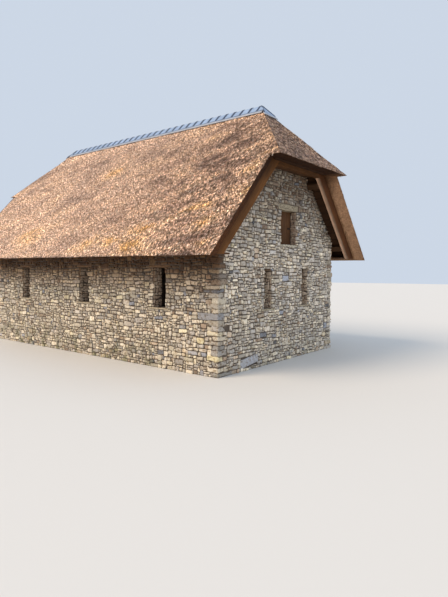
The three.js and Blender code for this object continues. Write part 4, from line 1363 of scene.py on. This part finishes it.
class COTTAGE_OT_ridge(bpy.types.Operator):
    """Lays the ridge tiles with their rolls, and the hip caps"""

    bl_idname = "cottage.ridge"
    bl_label = "Ridge tiles"

    def execute(self, context):
        settings = context.scene.cottage_ridge
        tile = ridge_ceramic("fired_ridge_tile", settings.slate)
        roll = ridge_ceramic("fired_ridge_roll", linear("#25324C"))
        bed = ridge_ceramic("pale_ridge_bed", linear("#A8ABB2"))
        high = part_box("ridge_cap")[1]
        # The crown ends where the half-hips begin, and the wings run on down the hips.
        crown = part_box("near_hip_cap")[0].x
        lean = (high.x - crown) / high.y
        count = round(2 * crown / settings.tile_length)
        pitch = 2 * crown / count
        tiles, rolls = bmesh.new(), bmesh.new()
        for number in range(count + 1):
            start = number * pitch - crown
            if number < count:
                leans = (-lean if number == 0 else 0.0, lean if number == count - 1 else 0.0)
                self.add_shell(tiles, high, start, start + pitch, (-6 * MM, 2 * MM), leans)
            self.add_shell(
                rolls, high, start - ROLL_HALF_WIDTH, start + ROLL_HALF_WIDTH, (ROLL_LIFT, ROLL_LIFT))
        mesh_piece("ridge_tiles", tiles, [tile], "ridge_tile", ["ridge_cap"])
        beds = bmesh.new()
        self.add_bed(beds, high)
        for end, sign in ENDS.items():
            bm = copy_of(end + "_hip_cap")
            worn(bm, 6 * MM, 2 * MM, 0.1, 5)
            mesh_piece(end + "_hip_cap_tile", bm, [tile], "ridge_tile", [end + "_hip_cap"])
            self.add_hip_ribs(rolls, end, sign)
            self.add_hip_bed(beds, end, sign)
        mesh_piece("ridge_rolls", rolls, [roll], "ridge_tile")
        mesh_piece("ridge_bed", beds, [bed], "ridge_tile")
        return {"FINISHED"}

    def profile(self, high, lift):
        """Points over the ridge from one wing's foot to the other's, rounded at the crown."""
        centre = Vector((0, 0, high.z - CROWN_SINK + lift - CROWN_RADIUS))
        angles = [math.radians(a) for a in range(-45, 46, 15)]
        arc = [centre + CROWN_RADIUS * Vector((0, math.sin(a), math.cos(a))) for a in angles]
        drop = high.y + WING_PAST - arc[-1].y
        foot = arc[-1] + Vector((0, drop, -drop))
        return [Vector((0, -foot.y, foot.z))] + arc + [foot]

    def add_shell(self, bm, high, start, end, lifts, leans=(0.0, 0.0)):
        """One bent tile from start to end along the ridge. A lean slants its wings along."""
        first = [bm.verts.new(point) for point in self.profile(high, lifts[0])]
        edges = [bm.edges.new(pair) for pair in zip(first, first[1:])]
        made = bmesh.ops.extrude_edge_only(bm, edges=edges)["geom"]
        last = [item for item in made if isinstance(item, bmesh.types.BMVert)]
        faces = [item for item in made if isinstance(item, bmesh.types.BMFace)]
        bmesh.ops.translate(bm, vec=(0, 0, lifts[1] - lifts[0]), verts=last)
        for verts, place, lean in ((first, start, leans[0]), (last, end, leans[1])):
            for vert in verts:
                vert.co.x = place + lean * abs(vert.co.y)
        for face in faces:
            face.normal_update()
        if faces[0].normal.z < 0:
            bmesh.ops.reverse_faces(bm, faces=faces)
        bmesh.ops.solidify(bm, geom=faces, thickness=TILE_THICKNESS)

    def add_hip_ribs(self, bm, end, sign):
        """A dark rib down both hips of the cap."""
        low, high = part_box(end + "_hip_cap")
        inner, outer = (low.x, high.x) if sign > 0 else (high.x, low.x)
        for side in (-1, 1):
            top = Vector((inner + sign * 20 * MM, side * 20 * MM, high.z - 22 * MM))
            foot = Vector((outer - sign * 12 * MM, side * (high.y - 12 * MM), low.z + 40 * MM))
            along = foot - top
            turn = along.to_track_quat("Z", "Y").to_matrix().to_4x4()
            bmesh.ops.create_cone(
                bm, segments=8, radius1=RIB_RADIUS, radius2=RIB_RADIUS, depth=along.length,
                cap_ends=True, matrix=Matrix.Translation((top + foot) / 2) @ turn)

    def add_hip_bed(self, bm, end, sign):
        """The pale strip under the foot of a hip cap."""
        low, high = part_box(end + "_hip_cap")
        outer = high.x if sign > 0 else low.x
        centre = Vector((outer + sign * 12 * MM, 0, low.z + 5 * MM))
        half = Vector((35 * MM, high.y + 20 * MM, BED_HALF_THICKNESS))
        turn = Matrix.Rotation(sign * HIP_PITCH, 4, "Y")
        add_block(bm, centre - half, centre + half, BED_EDGE, turn)

    def add_bed(self, bm, high):
        """The pale strip that the tiles sit on, on both slopes."""
        for side in (-1, 1):
            turn = Matrix.Rotation(-side * math.radians(45), 4, "X")
            foot = high.z - CROWN_SINK - high.y - BED_PAST
            centre = Vector((0, side * (high.y + BED_PAST), foot - 8 * MM))
            half = Vector((high.x, 50 * MM, BED_HALF_THICKNESS))
            add_block(bm, centre - half, centre + half, BED_EDGE, turn)


VERGE_PITCH = math.radians(47.8)
# The front verge boards narrow by this much below this height.
TAPER = 55 * MM
TAPER_TOP = 2.6
CORNER_BLOCK_RISE = 160 * MM


def under_slope(face):
    """True for the lower edge of a board that slopes with the verge."""
    return face.normal.z < -0.4 and abs(face.normal.y) > 0.3


class COTTAGE_OT_timber(bpy.types.Operator):
    """Wears and boards the timber of the verges, the eaves and the frame"""

    bl_idname = "cottage.timber"
    bl_label = "Timber"

    def execute(self, context):
        settings = context.scene.cottage_timber
        oak = sawn_oak("weathered_oak_board", settings.oak, 1)
        # Painted light brightens the bargeboards along their lower edges, most of all on the inner arris.
        # The back boards are coloured darker, as painted shade.
        square = (0.0, math.sin(VERGE_PITCH), math.cos(VERGE_PITCH))
        foot_pale = (0.0, math.sin(VERGE_PITCH - 0.03), math.cos(VERGE_PITCH - 0.03))
        sloping = {
            "front": sawn_oak("sloping_oak_board", settings.oak, 1, None, VERGE_PITCH,
                              (foot_pale, 3.48, 3.64, 1.6, 0.9)),
            "back": sawn_oak("shaded_oak_board", linear("#522C0A"), 1, None, VERGE_PITCH,
                             (square, 3.45, 3.6, 1.25, 0.85)),
        }
        # The edge material is painted light for the undersides of the bargeboards.
        back, face = (corner.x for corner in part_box("near_front_bargeboard"))
        edge = sawn_oak("painted_light_oak_edge", linear("#B9967C"), 1, None, VERGE_PITCH,
                        ((1, 0, 0), back + 15 * MM, face, 1.75, 0.35))
        # The purlins, plates, soffits and roof boards are coloured dark, as painted shade under the roof.
        oak_along = sawn_oak("sawn_oak_along", linear("#4C3421"), 0)
        dark = sawn_oak("old_dark_oak", linear("#5B3F29"), 1)
        soffit = sawn_oak("soffit_boards", linear("#5A3E29"), 0, settings.board)
        upright = sawn_oak("roof_boards", linear("#442C1B"), 0, settings.board)
        for number, name in enumerate(sorted(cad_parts)):
            if "bargeboard" in name or "hip_board" == name[-9:]:
                bm = copy_of(name)
                if "front_barge" in name:
                    self.taper(bm)
                worn(bm, settings.arris, 3 * MM, 0.2, number)
                for item in bm.faces:
                    # The undersides of the bargeboards take the painted light of the edge material.
                    item.material_index = int("barge" in name and under_slope(item))
                board = sloping[name.split("_")[1]] if "barge" in name else oak
                mesh_piece(name + "_oak", bm, [board, edge], "oak", [name])
            elif "truss" in name or name in ("front_purlin", "back_purlin", "ridge_beam"):
                bm = copy_of(name)
                worn(bm, settings.arris, 4 * MM, 0.2, number)
                timber = dark if "truss" in name else oak_along
                mesh_piece(name + "_oak", bm, [timber], "dark_oak", [name])
            elif "eaves_plate" in name:
                paint(oak_along, name)
            elif "soffit" in name:
                paint(soffit, name)
            elif "boarding" in name:
                paint(upright, name)
        self.corner_blocks(oak)
        return {"FINISHED"}

    def taper(self, bm):
        """Narrows a front verge board towards its foot, as the photo shows it."""
        edge = {vert for face in bm.faces if under_slope(face) for vert in face.verts}
        low = [vert for vert in edge if vert.co.z < TAPER_TOP]
        bmesh.ops.translate(bm, vec=(0, -TAPER, 0), verts=low)

    def corner_blocks(self, oak):
        """Wedges that close the corners between the bargeboards, the hip boards and the reed."""
        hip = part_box("near_hip_boarding")
        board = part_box("near_hip_board")
        foot = hip[0].z + 2 * MM
        top = foot + CORNER_BLOCK_RISE
        outer = hip[1].y - 6 * MM
        inner = board[1].y - 30 * MM
        section = ((outer, foot), (inner, foot), (inner, top), (outer - CORNER_BLOCK_RISE, top))
        bm = bmesh.new()
        for end in (-1, 1):
            for side in (-1, 1):
                verts = [bm.verts.new((end * (board[0].x - 4 * MM), side * y, z)) for y, z in section]
                base = bm.faces.new(verts)
                made = bmesh.ops.extrude_face_region(bm, geom=[base])["geom"]
                moved = [item for item in made if isinstance(item, bmesh.types.BMVert)]
                bmesh.ops.translate(bm, vec=(end * (board[1].x - board[0].x), 0, 0), verts=moved)
        bmesh.ops.recalc_face_normals(bm, faces=bm.faces)
        mesh_piece("verge_corner_blocks", bm, [oak], "oak")


PLANK_GAP = 3 * MM
LATCH_SIZE = Vector((12 * MM, 90 * MM, 40 * MM))
LATCH_INSET = 130 * MM
STRAP_PLACES = (0.3, 1.5)
STRAP_WIDTH = 50 * MM
STRAP_THICKNESS = 6 * MM


class COTTAGE_OT_joinery(bpy.types.Operator):
    """Makes the window shutters and the door from planks, with their iron"""

    bl_idname = "cottage.joinery"
    bl_label = "Shutters and door"

    def execute(self, context):
        oak = sawn_oak("planed_oak_plank", linear("#5E4029"), 2)
        iron = black_iron()
        for end, sign in ENDS.items():
            self.shutter(end, sign, oak, iron)
        self.door(oak, iron)
        return {"FINISHED"}

    def planks(self, bm, low, high, axis, count, edge):
        """Splits a box into upright planks side by side."""
        width = (high[axis] - low[axis]) / count
        for number in range(count):
            start, stop = low.copy(), high.copy()
            start[axis] = low[axis] + number * width + PLANK_GAP / 2
            stop[axis] = low[axis] + (number + 1) * width - PLANK_GAP / 2
            add_block(bm, start, stop, edge)

    def shutter(self, end, sign, oak, iron):
        name = end + "_window_shutter"
        low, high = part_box(name)
        bm = bmesh.new()
        self.planks(bm, low, high, 1, 4, 4 * MM)
        mesh_piece(name + "_planks", bm, [oak], "oak", [name])
        face = high.x if sign > 0 else low.x
        metal = bmesh.new()
        half = LATCH_SIZE / 2
        place = Vector((face + sign * half.x, high.y - LATCH_INSET + half.y, (low.z + high.z) / 2))
        add_block(metal, place - half, place + half, 3 * MM)
        mesh_piece(name + "_latch", metal, [iron], "black_iron")

    def door(self, oak, iron):
        low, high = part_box("door")
        bm = bmesh.new()
        self.planks(bm, low, high, 0, 5, 5 * MM)
        mesh_piece("door_planks", bm, [oak], "oak", ["door"])
        straps = bmesh.new()
        for height in STRAP_PLACES:
            add_block(
                straps, (low.x + 10 * MM, high.y, low.z + height),
                (high.x - 150 * MM, high.y + STRAP_THICKNESS, low.z + height + STRAP_WIDTH), 2 * MM)
        mesh_piece("door_straps", straps, [iron], "black_iron")
        paint(iron, "door_latch")
        paint(oak, "door_frame")


class COTTAGE_OT_stage(bpy.types.Operator):
    """Sets the floor, the soft light and the camera"""

    bl_idname = "cottage.stage"
    bl_label = "Stage"

    def execute(self, context):
        scene = context.scene
        scene.view_settings.view_transform = "Standard"
        self.floor()
        world = bpy.data.worlds.new("soft_studio")
        scene.world = world
        world.use_nodes = True
        world.node_tree.nodes["Background"].inputs["Color"].default_value = linear("#D1DCEB")
        world.node_tree.nodes["Background"].inputs["Strength"].default_value = 0.95
        self.sun("key_light", 2.6, linear("#FFE9CF"), (-4.0, -9.0, 8.0), 30)
        self.sun("fill_light", 0.5, linear("#DAE4F7"), (9.0, -4.0, 6.0), 60)
        self.camera(scene)
        return {"FINISHED"}

    def floor(self):
        bm = bmesh.new()
        bmesh.ops.create_circle(bm, cap_ends=True, segments=96, radius=60.0)
        mesh = bpy.data.meshes.new("stage_floor")
        bm.to_mesh(mesh)
        bm.free()
        floor = bpy.data.objects.new("stage_floor", mesh)
        material, tree, shader = new_material("pale_studio_floor")
        shader.inputs["Base Color"].default_value = linear("#D9D7D2")
        shader.inputs["Roughness"].default_value = 0.9
        mesh.materials.append(material)
        bpy.context.scene.collection.objects.link(floor)

    def sun(self, name, strength, colour, place, spread):
        light = bpy.data.lights.new(name, "SUN")
        light.energy = strength
        light.color = colour[:3]
        light.angle = math.radians(spread)
        lamp = bpy.data.objects.new(name, light)
        lamp.location = place
        lamp.rotation_euler = Vector(place).to_track_quat("Z", "Y").to_euler()
        bpy.context.scene.collection.objects.link(lamp)

    def camera(self, scene):
        """Looks the way the photo looks, from the same place and height."""
        heading, pitch = math.radians(CAMERA_HEADING), math.radians(CAMERA_PITCH)
        level = Vector((math.cos(heading), math.sin(heading), 0.0))
        ahead = level * math.cos(pitch) + UP * math.sin(pitch)
        right = ahead.cross(UP).normalized()
        above = right.cross(ahead)
        roll = math.radians(CAMERA_ROLL)
        right, above = (
            right * math.cos(roll) + above * math.sin(roll),
            above * math.cos(roll) - right * math.sin(roll),
        )
        data = bpy.data.cameras.new("photo_camera")
        data.sensor_width = SENSOR_WIDTH
        data.lens = CAMERA_FOCAL_PIXELS / max(IMAGE_SIZE) * SENSOR_WIDTH
        data.clip_end = 200.0
        camera = bpy.data.objects.new("photo_camera", data)
        camera.matrix_world = Matrix((right, above, -ahead)).transposed().to_4x4()
        camera.location = CAMERA_PLACE
        scene.collection.objects.link(camera)
        scene.camera = camera


OPERATORS = (
    COTTAGE_OT_stage,
    COTTAGE_OT_walls,
    COTTAGE_OT_slabs,
    COTTAGE_OT_thatch,
    COTTAGE_OT_ridge,
    COTTAGE_OT_timber,
    COTTAGE_OT_joinery,
)


class COTTAGE_PT_panel(bpy.types.Panel):
    """Lists the steps that dress the cottage"""

    bl_idname = "COTTAGE_PT_panel"
    bl_label = "Cottage"
    bl_space_type = "VIEW_3D"
    bl_region_type = "UI"
    bl_category = "Cottage"

    def draw(self, context):
        for operator in OPERATORS:
            self.layout.operator(operator.bl_idname)


SETTINGS = {
    "cottage_stone": CottageStone,
    "cottage_thatch": CottageThatch,
    "cottage_ridge": CottageRidge,
    "cottage_timber": CottageTimber,
}


def register():
    for group in SETTINGS.values():
        bpy.utils.register_class(group)
    for name, group in SETTINGS.items():
        setattr(bpy.types.Scene, name, PointerProperty(type=group))
    for operator in (*OPERATORS, COTTAGE_PT_panel):
        bpy.utils.register_class(operator)


def unregister():
    for operator in (COTTAGE_PT_panel, *reversed(OPERATORS)):
        bpy.utils.unregister_class(operator)
    for name, group in SETTINGS.items():
        delattr(bpy.types.Scene, name)
        bpy.utils.unregister_class(group)


def main():
    register()
    bpy.ops.cottage.stage()
    bpy.ops.cottage.walls()
    bpy.ops.cottage.slabs()
    bpy.ops.cottage.thatch()
    bpy.ops.cottage.ridge()
    bpy.ops.cottage.timber()
    bpy.ops.cottage.joinery()


if __name__ == "__main__":
    main()
